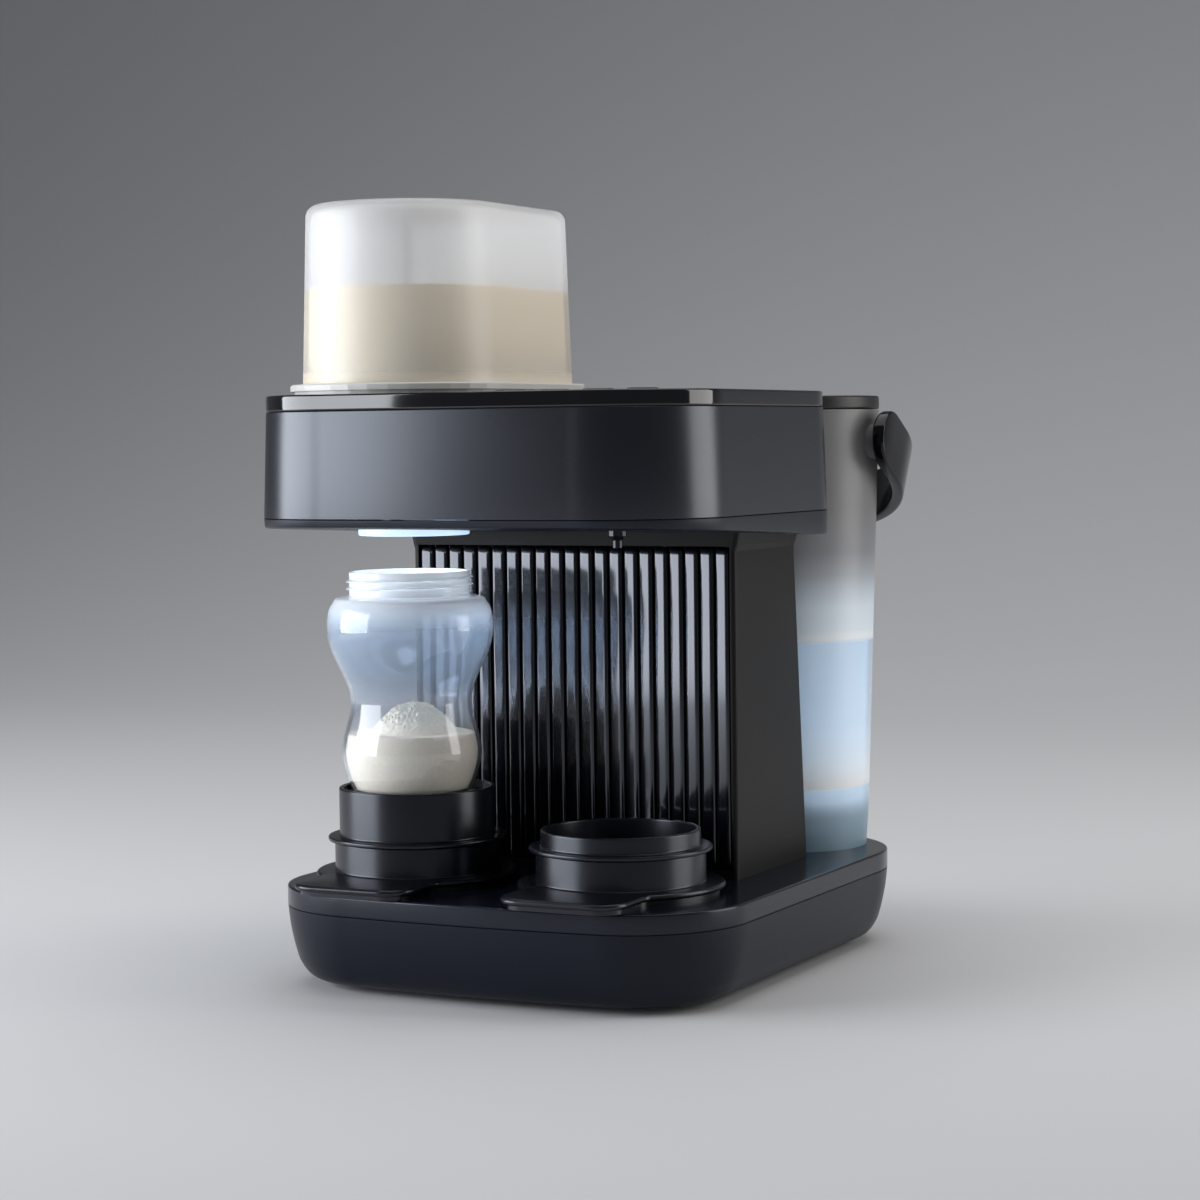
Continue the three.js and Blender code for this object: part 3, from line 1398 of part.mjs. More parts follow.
// The heater stands on the column's inside by a bracket that reaches the back wall of the panel
function flowHeater() {
  const high = heaterLow + heaterHeight;
  let heater = turnedSolid([
    [0, heaterLow], [heaterFlange, heaterLow], [heaterFlange, heaterLow + heaterFlangeThickness],
    [heaterRadius, heaterLow + heaterFlangeThickness], [heaterRadius, high - heaterFlangeThickness],
    [heaterFlange, high - heaterFlangeThickness], [heaterFlange, high], [0, high],
  ], heaterX, heaterY, roundSegments / 2);
  const bracketFront = columnFront + ribDepth + ribPlate + fitGap;
  for (const z of [heaterLow, high - heaterFlangeThickness]) {
    heater = heater.add(boxSolid(
      heaterX - heaterRadius, heaterX + heaterRadius, bracketFront, heaterY, z, z + heaterFlangeThickness,
    ));
  }
  return heater;
}

function waterPump() {
  const foot = boxSolid(
    pumpX - pumpFootWidth / 2, pumpX + pumpFootWidth / 2, pumpFront, pumpY, tubFloorTop, pumpHeight,
  );
  const outlet = cylinderSolid(pumpX, pumpFront + pumpRadius, pipeRadius + chuteWall, pumpHeight,
    pumpHeight + pumpRadius + pipeRadius);
  return longCylinder(pumpX, pumpFront, pumpY, pumpHeight, pumpRadius).add(foot).add(outlet);
}

function supplyHose() {
  const nippleBottom = deckHeight - socketDepth - socketWall - socketNippleLength - fitGap;
  const low = pumpHeight - pipeRadius;
  return tubeSolid([
    [0, tankY, nippleBottom], [0, tankY, nippleBottom - pipeRadius / 2], [0, tankY - pipeRadius, low],
    [pumpX / 2, (tankY + pumpY) / 2, low], [pumpX, pumpY + 4 * pipeRadius, pumpHeight],
    [pumpX, pumpY + pipeRadius, pumpHeight], [pumpX, pumpY + fitGap, pumpHeight],
  ], pipeRadius, hoseSteps);
}

function coldPipe() {
  const bottom = pumpHeight + pumpRadius + pipeRadius + fitGap;
  const y = pumpFront + pumpRadius;
  return tubeSolid([
    [pumpX, y, bottom], [pumpX, y, (2 * bottom + heaterLow) / 3],
    [heaterX, heaterY, (bottom + 2 * heaterLow) / 3], [heaterX, heaterY, heaterLow - fitGap],
  ], pipeRadius, coldPipeSteps);
}

function hotPipe() {
  const start = heaterLow + heaterHeight + fitGap;
  const high = spoutTop + 3 * pipeRadius;
  return tubeSolid([
    [heaterX, heaterY, start], [heaterX, heaterY, seamHeight - pipeRadius],
    [heaterX, heaterY - 2 * pipeRadius, high],
    [(heaterX + rightStandX) / 2, heaterY / 2, high], [rightStandX, standY + 3 * pipeRadius, high],
    [rightStandX, standY, spoutTop + 2 * pipeRadius], [rightStandX, standY, spoutTop + fitGap],
  ], pipeRadius, hotPipeSteps);
}

machine.add(piece('water_spout', waterSpout(), plasticMaterial(blackPlastic, 0.35)));
machine.add(piece('flow_heater', flowHeater(), plasticMaterial(brightSteel, 0.3, { metalness: 1 })));
machine.add(piece('water_pump', waterPump(), plasticMaterial(innerWhite, 0.45)));
machine.add(piece('supply_hose', supplyHose(), plasticMaterial(innerWhite, 0.4)));
machine.add(piece('cold_pipe', coldPipe(), plasticMaterial(innerWhite, 0.4)));
machine.add(piece('hot_pipe', hotPipe(), plasticMaterial(innerWhite, 0.4)));

// Tank

function tankBody() {
  const low = deckHeight;
  let tank = stackSolid([
    { ring: tankRing(tankRadiusAt(low)), z: low },
    { ring: tankRing(tankRadiusAt(tankTop)), z: tankTop },
  ]);
  tank = tank.subtract(stackSolid([
    { ring: tankRing(tankRadiusAt(tankFloorTop) - tankWall), z: tankFloorTop },
    { ring: tankRing(tankRadiusAt(tankTop + overrun) - tankWall), z: tankTop + overrun },
  ]));
  const underside = tankFloorTop - tankFloorThickness;
  tank = tank.subtract(stackSolid([
    { ring: tankRing(tankRadiusAt(low - overrun) - tankWall), z: low - overrun },
    { ring: tankRing(tankRadiusAt(underside) - tankWall), z: underside },
  ]));
  tank = tank.add(cylinderSolid(0, tankY, tankSpigotRadius, deckHeight - tankSpigotDrop, tankFloorTop,
    roundSegments));
  tank = tank.subtract(cylinderSolid(0, tankY, tankPort, deckHeight - tankSpigotDrop - overrun,
    tankFloorTop + overrun));
  for (const side of [-1, 1]) {
    const wallMiddle = tankHalfStraight + tankRadiusAt(pivotHeight) - tankWall / 2;
    const ends = [side * wallMiddle, side * (strapInside - fitGap)].sort((a, b) => a - b);
    tank = tank.add(crossCylinder(ends[0], ends[1], tankY, pivotHeight, pivotBossRadius));
    const pinInner = strapInside - pivotPinLength / 2 - fitGap;
    const hole = [side * pinInner, side * (strapInside + overrun)].sort((a, b) => a - b);
    tank = tank.subtract(crossCylinder(hole[0], hole[1], tankY, pivotHeight, pivotPinRadius + fitGap));
  }
  return tank;
}

function tankLid() {
  const radius = tankRadiusAt(tankTop);
  let lid = stackSolid([
    { ring: tankRing(radius), z: lidBottom },
    { ring: tankRing(radius), z: lidBottom + lidHeight - lidEdge },
    { ring: tankRing(radius - lidEdge), z: lidBottom + lidHeight },
  ]);
  lid = lid.subtract(stackSolid([
    { ring: tankRing(radius - tankWall), z: lidBottom - overrun },
    { ring: tankRing(radius - tankWall), z: lidBottom + lidHeight - lidPlate },
  ]));
  const skirtTop = lidBottom + lidHeight - lidPlate / 2;
  const skirtRadius = tankRadiusAt(lidBottom - lidSkirt) - tankWall - slideGap;
  return lid.add(stackSolid([
    { ring: tankRing(skirtRadius), z: lidBottom - lidSkirt },
    { ring: tankRing(skirtRadius), z: skirtTop },
  ]).subtract(stackSolid([
    { ring: tankRing(skirtRadius - lidSkirtWall), z: lidBottom - lidSkirt - overrun },
    { ring: tankRing(skirtRadius - lidSkirtWall), z: skirtTop + overrun },
  ])));
}

// The valve's disc rests over the port in the tank's floor, and its stem hangs down inside the spigot
function tankValve() {
  const seat = tankFloorTop;
  return turnedSolid([
    [0, deckHeight - tankSpigotDrop / 2], [valveStemRadius, deckHeight - tankSpigotDrop / 2],
    [valveStemRadius, seat], [valveDiscRadius, seat], [valveDiscRadius, seat + valveDiscThickness],
    [valveStemRadius, seat + 2 * valveDiscThickness], [0, seat + 2 * valveDiscThickness],
  ], 0, tankY, smallSegments);
}

function tankSeal() {
  const profile = arcPoints(tankSpigotRadius + fitGap / 3 + sealRound, deckHeight - tankSpigotDrop / 2,
    sealRound, 0, 2 * Math.PI, pipeSides);
  profile[profile.length - 1] = profile[0].clone();
  return turnedSolid(profile.map((p) => [p.x, p.y]), 0, tankY, 2 * smallSegments);
}

// A post in the socket that the valve's stem comes down over
function socketPin() {
  const low = deckHeight - socketDepth;
  const bridge = tankSpigotRadius;
  const post = cylinderSolid(0, tankY, valvePinRadius, low, deckHeight - tankSpigotDrop / 2 - fitGap);
  return post.add(boxSolid(-bridge, bridge, tankY - valvePinRadius / 2, tankY + valvePinRadius / 2, low,
    low + valvePinRadius));
}

// The strap is bent in one plane, then its ends are rounded about the pivots
function handleSolid() {
  const outerHalf = strapInside + strapThickness;
  const endReach = strapWidth / 2;
  const pathOf = (half, bend) => [
    new THREE.Vector2(half, -endReach),
    ...arcPoints(half - bend, strapStraight, bend, 0, Math.PI / 2, cornerSteps),
    ...arcPoints(bend - half, strapStraight, bend, Math.PI / 2, Math.PI, cornerSteps),
    new THREE.Vector2(-half, -endReach),
  ];
  const outline = [...pathOf(outerHalf, strapBend + strapThickness),
    ...pathOf(strapInside, strapBend).reverse()];
  const strap = prismSolid(new THREE.Shape(outline), -endReach, endReach);
  const roundEnd = crossCylinder(-outerHalf - overrun, outerHalf + overrun, 0, 0, endReach,
    roundSegments);
  const rest = boxSolid(
    -outerHalf - overrun, outerHalf + overrun, 0, strapStraight + strapBend + 2 * strapThickness,
      -endReach - overrun, endReach + overrun,
  );
  let handle = strap.intersect(roundEnd.add(rest));
  for (const side of [-1, 1]) {
    const ends = [side * (strapInside - overrun),
      side * (outerHalf - strapEndSkin)].sort((a, b) => a - b);
    handle = handle.subtract(crossCylinder(ends[0], ends[1], 0, 0, pivotPinRadius + fitGap));
  }
  return handle;
}

function pivotPin(side) {
  const reach = [side * (strapInside - pivotPinLength / 2),
    side * (strapInside + strapThickness - strapEndSkin - fitGap)];
  const ends = reach.sort((a, b) => a - b);
  return crossCylinder(ends[0], ends[1], tankY, pivotHeight, pivotPinRadius);
}

machine.add(piece('tank_body', tankBody(),
  plasticMaterial(frostedClear, 0.45, { transparent: true, opacity: 0.6 })));
machine.add(piece('tank_lid', tankLid(), plasticMaterial(darkSatin, 0.5)));
machine.add(piece('tank_valve', tankValve(), plasticMaterial(innerWhite, 0.4)));
machine.add(piece('tank_spigot_seal', tankSeal(), plasticMaterial(rubberGrey, 0.8)));
machine.add(piece('socket_pin', socketPin(), plasticMaterial(innerWhite, 0.4)));
// The handle hangs back on its pivots, as it is stowed
const handle = piece('tank_handle', handleSolid(), plasticMaterial(glossBlack, 0.15));
handle.position.set(0, tankY, pivotHeight);
handle.rotation.x = -handleFoldAngle;
machine.add(handle);
machine.add(piece('handle_pin_left', pivotPin(-1), plasticMaterial(brightSteel, 0.3, { metalness: 1 })));
machine.add(piece('handle_pin_right', pivotPin(1), plasticMaterial(brightSteel, 0.3, { metalness: 1 })));

// The whole is moved so that the middle of its footprint is the origin
const reach = new THREE.Box3().setFromObject(machine, true);
const middle = reach.getCenter(new THREE.Vector3());
for (const mesh of machine.children) {
  mesh.position.x -= middle.x;
  mesh.position.y -= middle.y;
  mesh.position.z -= reach.min.z;
}

export default machine;
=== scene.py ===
import math
import bmesh
import bpy
import numpy as np
from mathutils import Matrix, Vector


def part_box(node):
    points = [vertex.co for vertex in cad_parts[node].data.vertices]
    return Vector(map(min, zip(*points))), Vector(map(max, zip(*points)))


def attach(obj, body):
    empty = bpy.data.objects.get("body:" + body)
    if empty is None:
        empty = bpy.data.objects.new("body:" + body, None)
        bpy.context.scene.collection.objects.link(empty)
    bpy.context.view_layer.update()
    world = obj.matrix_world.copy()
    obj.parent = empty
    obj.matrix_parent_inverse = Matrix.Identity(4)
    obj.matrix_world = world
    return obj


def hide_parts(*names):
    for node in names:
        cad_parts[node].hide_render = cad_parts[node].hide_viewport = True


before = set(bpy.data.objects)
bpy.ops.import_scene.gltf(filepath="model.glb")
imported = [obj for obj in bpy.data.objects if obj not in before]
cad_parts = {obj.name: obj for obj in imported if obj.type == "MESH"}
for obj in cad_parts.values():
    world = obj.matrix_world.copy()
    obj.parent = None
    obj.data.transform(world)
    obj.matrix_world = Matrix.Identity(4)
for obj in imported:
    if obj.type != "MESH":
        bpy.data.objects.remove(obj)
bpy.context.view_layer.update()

mm = 0.001
base = {"halfWidth": 106, "front": 69.2, "rear": 191, "bow": 2.4, "frontRound": 50, "rearRound": 58}
head = {"halfWidth": 103.9, "front": 80.2, "rear": 102, "bow": 2.4, "frontRound": 46, "rearRound": 35}
# shapes are drawn with the stands in front of Y = 0, then moved back or forth by this much
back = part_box("base_tub")[1][1] / mm - base["rear"]


# node trees

def nodeTree(name):
    mat = bpy.data.materials.new(name)
    mat.use_nodes = True
    tree = mat.node_tree
    shader = tree.nodes["Principled BSDF"]
    coords = tree.nodes.new("ShaderNodeTexCoord")
    return mat, tree, shader, coords.outputs["Object"]


def noise(tree, vector, scale, detail=3.0, rough=0.55, stretch=None):
    if stretch is not None:
        mapping = tree.nodes.new("ShaderNodeMapping")
        mapping.inputs["Scale"].default_value = stretch
        tree.links.new(vector, mapping.inputs["Vector"])
        vector = mapping.outputs["Vector"]
    tex = tree.nodes.new("ShaderNodeTexNoise")
    tex.inputs["Scale"].default_value = scale
    tex.inputs["Detail"].default_value = detail
    tex.inputs["Roughness"].default_value = rough
    tree.links.new(vector, tex.inputs["Vector"])
    return tex.outputs["Fac"]


def spread(tree, value, low, high, fromLow=0.3, fromHigh=0.7):
    span = tree.nodes.new("ShaderNodeMapRange")
    for name, number in (("From Min", fromLow), ("From Max", fromHigh), ("To Min", low), ("To Max", high)):
        span.inputs[name].default_value = number
    tree.links.new(value, span.inputs["Value"])
    return span.outputs["Result"]


# inputs 6 and 7 and output 2 are the node's colour sockets
def blendColours(tree, factor, first, second):
    mix = tree.nodes.new("ShaderNodeMix")
    mix.data_type = "RGBA"
    mix.inputs[6].default_value = (*first, 1)
    mix.inputs[7].default_value = (*second, 1)
    tree.links.new(factor, mix.inputs[0])
    return mix.outputs[2]


def colourBy(tree, shader, factor, first, second, socket="Base Color"):
    tree.links.new(blendColours(tree, factor, first, second), shader.inputs[socket])


def scaled(colour, share):
    return tuple(min(1, c * share) for c in colour)


def addBump(tree, shader, height, strength, distance):
    bump = tree.nodes.new("ShaderNodeBump")
    bump.inputs["Strength"].default_value = strength
    bump.inputs["Distance"].default_value = distance
    tree.links.new(height, bump.inputs["Height"])
    tree.links.new(bump.outputs["Normal"], shader.inputs["Normal"])


# moulded plastics: a fine grain in the surface, and slow drifts of tone and gloss
def plastic(name, colour, roughness, grain=0.12, drift=0.1, coat=0.0, specular=0.5, tint=(1, 1, 1),
            grainScale=2600):
    mat, tree, shader, vector = nodeTree(name)
    slow = noise(tree, vector, 14, 4)
    wear = noise(tree, vector, 9, 2)
    colourBy(tree, shader, spread(tree, slow, 0, 1), scaled(colour, 1 - drift), scaled(colour, 1 + drift))
    tree.links.new(spread(tree, wear, roughness * 0.94, roughness * 1.06), shader.inputs["Roughness"])
    shader.inputs["Specular IOR Level"].default_value = specular
    shader.inputs["Specular Tint"].default_value = (*tint, 1)
    shader.inputs["Coat Weight"].default_value = coat
    shader.inputs["Coat Roughness"].default_value = 0.04
    addBump(tree, shader, noise(tree, vector, grainScale, 2), grain, 0.00006)
    return mat


def heightOf(tree, vector):
    split = tree.nodes.new("ShaderNodeSeparateXYZ")
    tree.links.new(vector, split.inputs[0])
    return split.outputs["Z"]


# colour, and how clear or covering it is, set by height: stops are (height in mm, colour, amount)
def byHeight(tree, shader, vector, stops, amountSocket):
    low, high = stops[0][0] * mm, stops[-1][0] * mm
    share = spread(tree, heightOf(tree, vector), 0, 1, low, high)
    cloud = spread(tree, noise(tree, vector, 18, 4), -0.003, 0.003)
    drift = tree.nodes.new("ShaderNodeMath")
    tree.links.new(share, drift.inputs[0])
    tree.links.new(cloud, drift.inputs[1])
    for socket, pick in (("Base Color", 1), (amountSocket, 2)):
        ramp = tree.nodes.new("ShaderNodeValToRGB")
        ramp.color_ramp.elements.remove(ramp.color_ramp.elements[0])
        for k, stop in enumerate(stops):
            at = (stop[0] * mm - low) / (high - low)
            element = ramp.color_ramp.elements[0] if k == 0 else ramp.color_ramp.elements.new(at)
            element.position = at
            element.color = (*stop[1], 1) if pick == 1 else (stop[2], stop[2], stop[2], 1)
        tree.links.new(drift.outputs[0], ramp.inputs[0])
        tree.links.new(ramp.outputs[0], shader.inputs[socket])


# clear plastic whose tint and clearness are set by height
def clearPlastic(name, stops, roughness, ior=1.45, bumpiness=0.02):
    mat, tree, shader, vector = nodeTree(name)
    byHeight(tree, shader, vector, stops, "Transmission Weight")
    cloud = noise(tree, vector, 22, 3)
    gloss = spread(tree, cloud, max(0.01, roughness - 0.02), roughness + 0.02)
    tree.links.new(gloss, shader.inputs["Roughness"])
    shader.inputs["IOR"].default_value = ior
    addBump(tree, shader, noise(tree, vector, 1500, 2), bumpiness, 0.00005)
    return mat


# frosted plastic: what lies behind it shows faintly, by height
def frosted(name, stops, roughness):
    mat, tree, shader, vector = nodeTree(name)
    byHeight(tree, shader, vector, stops, "Alpha")
    tree.links.new(spread(tree, noise(tree, vector, 40, 3), roughness - 0.04, roughness + 0.04),
                   shader.inputs["Roughness"])
    addBump(tree, shader, noise(tree, vector, 1800, 2), 0.1, 0.00005)
    return mat


# milk powder: small crumbs and soft lumps
def powderMaterial(name, colour):
    mat, tree, shader, vector = nodeTree(name)
    crumbs = noise(tree, vector, 900, 6, 0.7)
    lumps = noise(tree, vector, 120, 4)
    colourBy(tree, shader, spread(tree, crumbs, 0, 1, 0.35, 0.65), scaled(colour, 0.86), colour)
    tree.links.new(spread(tree, lumps, 0.85, 1.0), shader.inputs["Roughness"])
    shader.inputs["Specular IOR Level"].default_value = 0.2
    shader.inputs["Subsurface Weight"].default_value = 0.15
    shader.inputs["Subsurface Scale"].default_value = 0.003
    addBump(tree, shader, crumbs, 0.6, 0.0006)
    return mat


def metal(name, colour, roughness):
    mat, tree, shader, vector = nodeTree(name)
    lines = noise(tree, vector, 500, 3, 0.5, (1.0, 1.0, 14.0))
    colourBy(tree, shader, lines, scaled(colour, 0.85), colour)
    tree.links.new(spread(tree, lines, roughness - 0.06, roughness + 0.08), shader.inputs["Roughness"])
    shader.inputs["Metallic"].default_value = 1.0
    addBump(tree, shader, lines, 0.15, 0.00004)
    return mat


# the lamp in the head: an even pale blue glow
def lampMaterial(name, colour, strength):
    mat, tree, shader, vector = nodeTree(name)
    glow = noise(tree, vector, 60, 2)
    colourBy(tree, shader, glow, scaled(colour, 0.94), colour)
    colourBy(tree, shader, glow, scaled(colour, 0.97), colour, "Emission Color")
    shader.inputs["Emission Strength"].default_value = strength
    shader.inputs["Roughness"].default_value = 0.35
    return mat


# green circuit board with darker tracks
def boardMaterial(name):
    mat, tree, shader, vector = nodeTree(name)
    cells = tree.nodes.new("ShaderNodeTexVoronoi")
    cells.feature = "DISTANCE_TO_EDGE"
    cells.inputs["Scale"].default_value = 260
    tree.links.new(vector, cells.inputs["Vector"])
    tracks = spread(tree, cells.outputs["Distance"], 0, 1, 0.02, 0.06)
    colourBy(tree, shader, tracks, (0.02, 0.14, 0.07), (0.03, 0.24, 0.12))
    shader.inputs["Roughness"].default_value = 0.4
    addBump(tree, shader, tracks, 0.3, 0.0001)
    return mat


# shape helpers: arrays of points in millimetres

# Points at equal angles on a circle's arc, angles in degrees.
def arcOf(x, y, radius, fromAngle, toAngle, count=40):
    angle = np.radians(np.linspace(fromAngle, toAngle, count))
    return np.stack([x + radius * np.cos(angle), y + radius * np.sin(angle)], 1)


# The joined parts as a closed loop of points at equal distances along it.
def evenLoop(parts, count):
    loop = np.concatenate(parts)
    loop = np.concatenate([loop, loop[:1]])
    step = np.linalg.norm(np.diff(loop, axis=0), axis=1)
    keep = np.concatenate([[True], step > 1e-6])
    loop = loop[keep]
    run = np.concatenate([[0], np.cumsum(np.linalg.norm(np.diff(loop, axis=0), axis=1))])
    at = np.linspace(0, run[-1], count, endpoint=False)
    return np.stack([np.interp(at, run, loop[:, 0]), np.interp(at, run, loop[:, 1])], 1)


# Unit normals of an anticlockwise loop: the tangent between a point's neighbours, turned right by a quarter.
def outwards(loop):
    tangent = np.roll(loop, -1, 0) - np.roll(loop, 1, 0)
    tangent /= np.linalg.norm(tangent, axis=1)[:, None]
    return np.stack([tangent[:, 1], -tangent[:, 0]], 1)


# A rounded rectangle whose front edge is a shallow parabola.
def planLoop(halfWidth, front, rear, bow, frontRound, rearRound, count=300):
    x = np.linspace(frontRound - halfWidth, halfWidth - frontRound, 60)
    share = x / (halfWidth - frontRound)
    return evenLoop([
        np.stack([x, -front - bow * (1 - share ** 2)], 1),
        arcOf(halfWidth - frontRound, frontRound - front, frontRound, -90, 0),
        arcOf(halfWidth - rearRound, rear - rearRound, rearRound, 0, 90),
        arcOf(rearRound - halfWidth, rear - rearRound, rearRound, 90, 180),
        arcOf(frontRound - halfWidth, frontRound - front, frontRound, 180, 270),
    ], count)


# A polyline with each inner corner replaced by a curve that starts and ends radius before and after it.
def rounded(profile, radius, steps=5):
    points = np.array(profile, float)
    out = [points[:1]]
    for before, corner, after in zip(points[:-2], points[1:-1], points[2:]):
        one, two = before - corner, after - corner
        reach = [min(radius, 0.45 * np.linalg.norm(v)) / max(np.linalg.norm(v), 1e-9) for v in (one, two)]
        start, end = corner + one * reach[0], corner + two * reach[1]
        t = np.linspace(0, 1, steps)[:, None]
        out.append((1 - t) ** 2 * start + 2 * t * (1 - t) * corner + t ** 2 * end)
    out.append(points[-1:])
    return np.concatenate(out)


# Each row of the profile is (offset, height): the loop moved along its normals by offset, and lifted.
def carried(loop, profile):
    profile = np.asarray(profile, float)
    flat = loop[None] + profile[:, 0, None, None] * outwards(loop)[None]
    height = np.broadcast_to(profile[:, 1, None, None], (*flat.shape[:2], 1))
    return np.concatenate([flat, height], 2)


# Each row of the profile is (radius, height), carried round a vertical axis.
def turned(profile, x, y, count=96):
    profile = np.asarray(profile, float)
    angle = np.linspace(0, 2 * np.pi, count, endpoint=False)
    ring = np.stack([np.cos(angle), np.sin(angle)], 1)
    flat = profile[:, 0, None, None] * ring[None] + np.array([x, y])
    height = np.broadcast_to(profile[:, 1, None, None], (*flat.shape[:2], 1))
    return np.concatenate([flat, height], 2)


# Quads between neighbouring rows of points; the end rows are closed by fans, or joined if wrapped.
def skin(rows, wrap=False):
    count, around = rows.shape[:2]
    index = np.arange(count * around).reshape(count, around)
    lower = index if wrap else index[:-1]
    upper = np.roll(index, -1, 0) if wrap else index[1:]
    quads = np.stack([lower, np.roll(lower, -1, 1), np.roll(upper, -1, 1), upper], 2).reshape(-1, 4)
    points = rows.reshape(-1, 3)
    faces = quads.tolist()
    if not wrap:
        middles = np.stack([rows[0].mean(0), rows[-1].mean(0)])
        points = np.concatenate([points, middles])
        low, high = count * around, count * around + 1
        first, last = index[0], index[-1]
        faces += np.stack([np.full(around, low), np.roll(first, -1), first], 1).tolist()
        faces += np.stack([np.full(around, high), last, np.roll(last, -1)], 1).tolist()
    return points, faces


def joined(*parts):
    points, faces, start = [], [], 0
    for partPoints, partFaces in parts:
        points.append(partPoints)
        faces += [[i + start for i in face] for face in partFaces]
        start += len(partPoints)
    return np.concatenate(points), faces


def build(name, shape, material, body=None, replaces=(), sharp=32):
    points, faces = shape
    mesh = bpy.data.meshes.new(name)
    mesh.from_pydata(((points + [0, back, 0]) * mm).tolist(), [], faces)
    bm = bmesh.new()
    bm.from_mesh(mesh)
    bmesh.ops.remove_doubles(bm, verts=bm.verts, dist=1e-6)
    bmesh.ops.dissolve_degenerate(bm, edges=bm.edges, dist=1e-7)
    bmesh.ops.recalc_face_normals(bm, faces=bm.faces)
    bm.to_mesh(mesh)
    bm.free()
    mesh.polygons.foreach_set("use_smooth", np.ones(len(mesh.polygons), bool))
    mesh.set_sharp_from_angle(angle=math.radians(sharp))
    obj = bpy.data.objects.new(name, mesh)
    bpy.context.scene.collection.objects.link(obj)
    if material:
        obj.data.materials.append(material)
    if body:
        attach(obj, body)
    if replaces:
        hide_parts(*replaces)
    return obj


# Takes the shapes out of the object and keeps the result as its mesh.
def carve(obj, *shapes, sharp=32):
    cutter = build(obj.name + "_cutter", joined(*shapes), None)
    change = obj.modifiers.new("cut", "BOOLEAN")
    change.operation = "DIFFERENCE"
    change.solver = "EXACT"
    change.object = cutter
    bpy.context.view_layer.update()
    solid = bpy.data.meshes.new_from_object(obj.evaluated_get(bpy.context.evaluated_depsgraph_get()))
    obj.modifiers.clear()
    obj.data = solid
    bpy.data.objects.remove(cutter)
    solid.polygons.foreach_set("use_smooth", np.ones(len(solid.polygons), bool))
    solid.set_sharp_from_angle(angle=math.radians(sharp))


def blockShape(x0, x1, y0, y1, z0, z1):
    corners = np.array([[x, y, z] for z in (z0, z1) for y in (y0, y1) for x in (x0, x1)], float)
    return corners, [[0, 2, 3, 1], [4, 5, 7, 6], [0, 1, 5, 4], [1, 3, 7, 5], [3, 2, 6, 7], [2, 0, 4, 6]]


def drum(x, y, radius, low, high, count=64):
    return skin(turned([[radius, low], [radius, high]], x, y, count))


def dress(material, *names):
    for name in names:
        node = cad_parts[name]
        node.data.materials.clear()
        node.data.materials.append(material)


print("stage: materials")
paint = {
    "navy": (0.005, 0.007, 0.014),
    "graphite": (0.007, 0.0076, 0.012),
    "black": (0.003, 0.003, 0.005),
    "warmBlack": (0.0075, 0.007, 0.0075),
    "stand": (0.0035, 0.004, 0.007),
    "cream": (0.86, 0.745, 0.53),
    "offWhite": (0.80, 0.79, 0.76),
}
coolSheen = (0.86, 0.90, 1.0)
capGloss = plastic("capGloss", paint["black"], 0.07, grain=0.01, coat=0.3, specular=0.6)
deckGloss = plastic("deckGloss", paint["navy"], 0.22, grain=0.03, coat=0.1, specular=0.4, tint=coolSheen)
tubSatin = plastic("tubSatin", paint["navy"], 0.34, grain=0.15, specular=0.3, tint=coolSheen)
headSatin = plastic("headSatin", paint["graphite"], 0.27, grain=0.1, specular=0.85, tint=coolSheen)
headUnder = plastic("headUnder", paint["navy"], 0.4, grain=0.15, specular=0.4, tint=coolSheen)
columnSatin = plastic("columnSatin", paint["warmBlack"], 0.45, grain=0.25, specular=0.22)
ribSatin = plastic("ribSatin", paint["black"], 0.13, grain=0.01, coat=0.1, specular=0.75, tint=coolSheen)
standSatin = plastic("standSatin", paint["stand"], 0.27, grain=0.08, specular=0.6, tint=coolSheen)
lidSatin = plastic("lidSatin", paint["warmBlack"], 0.42, grain=0.25)
handleGloss = plastic("handleGloss", paint["black"], 0.16, grain=0.03, coat=0.2, specular=0.25)
creamPlastic = plastic("creamPlastic", paint["offWhite"], 0.35, grain=0.1, drift=0.03)
innerWhite = plastic("innerWhite", (0.7, 0.7, 0.68), 0.4, grain=0.1, drift=0.04)
softGrey = plastic("softGrey", (0.08, 0.08, 0.085), 0.85, grain=0.5, drift=0.15, specular=0.3,
                   grainScale=900)
panelGloss = plastic("panelGloss", paint["black"], 0.1, grain=0.02, coat=0.4)
buttonSatin = plastic("buttonSatin", (0.05, 0.05, 0.055), 0.35, grain=0.15)
iconWhite = plastic("iconWhite", (0.75, 0.76, 0.78), 0.5, grain=0.05, drift=0.03)
brightSteel = metal("brightSteel", (0.62, 0.63, 0.65), 0.3)
boardGreen = boardMaterial("boardGreen")
jarWhite = (0.79, 0.795, 0.81)
jarOverPowder = (0.84, 0.80, 0.735)
jarFoot = (0.85, 0.775, 0.645)
frostedJar = frosted("frostedJar", [
    (250, jarFoot, 0.92), (261.8, jarFoot, 0.92), (263, jarOverPowder, 0.5), (297.4, jarOverPowder, 0.5),
    (298.8, jarWhite, 0.52), (334, jarWhite, 0.56),
], 0.34)
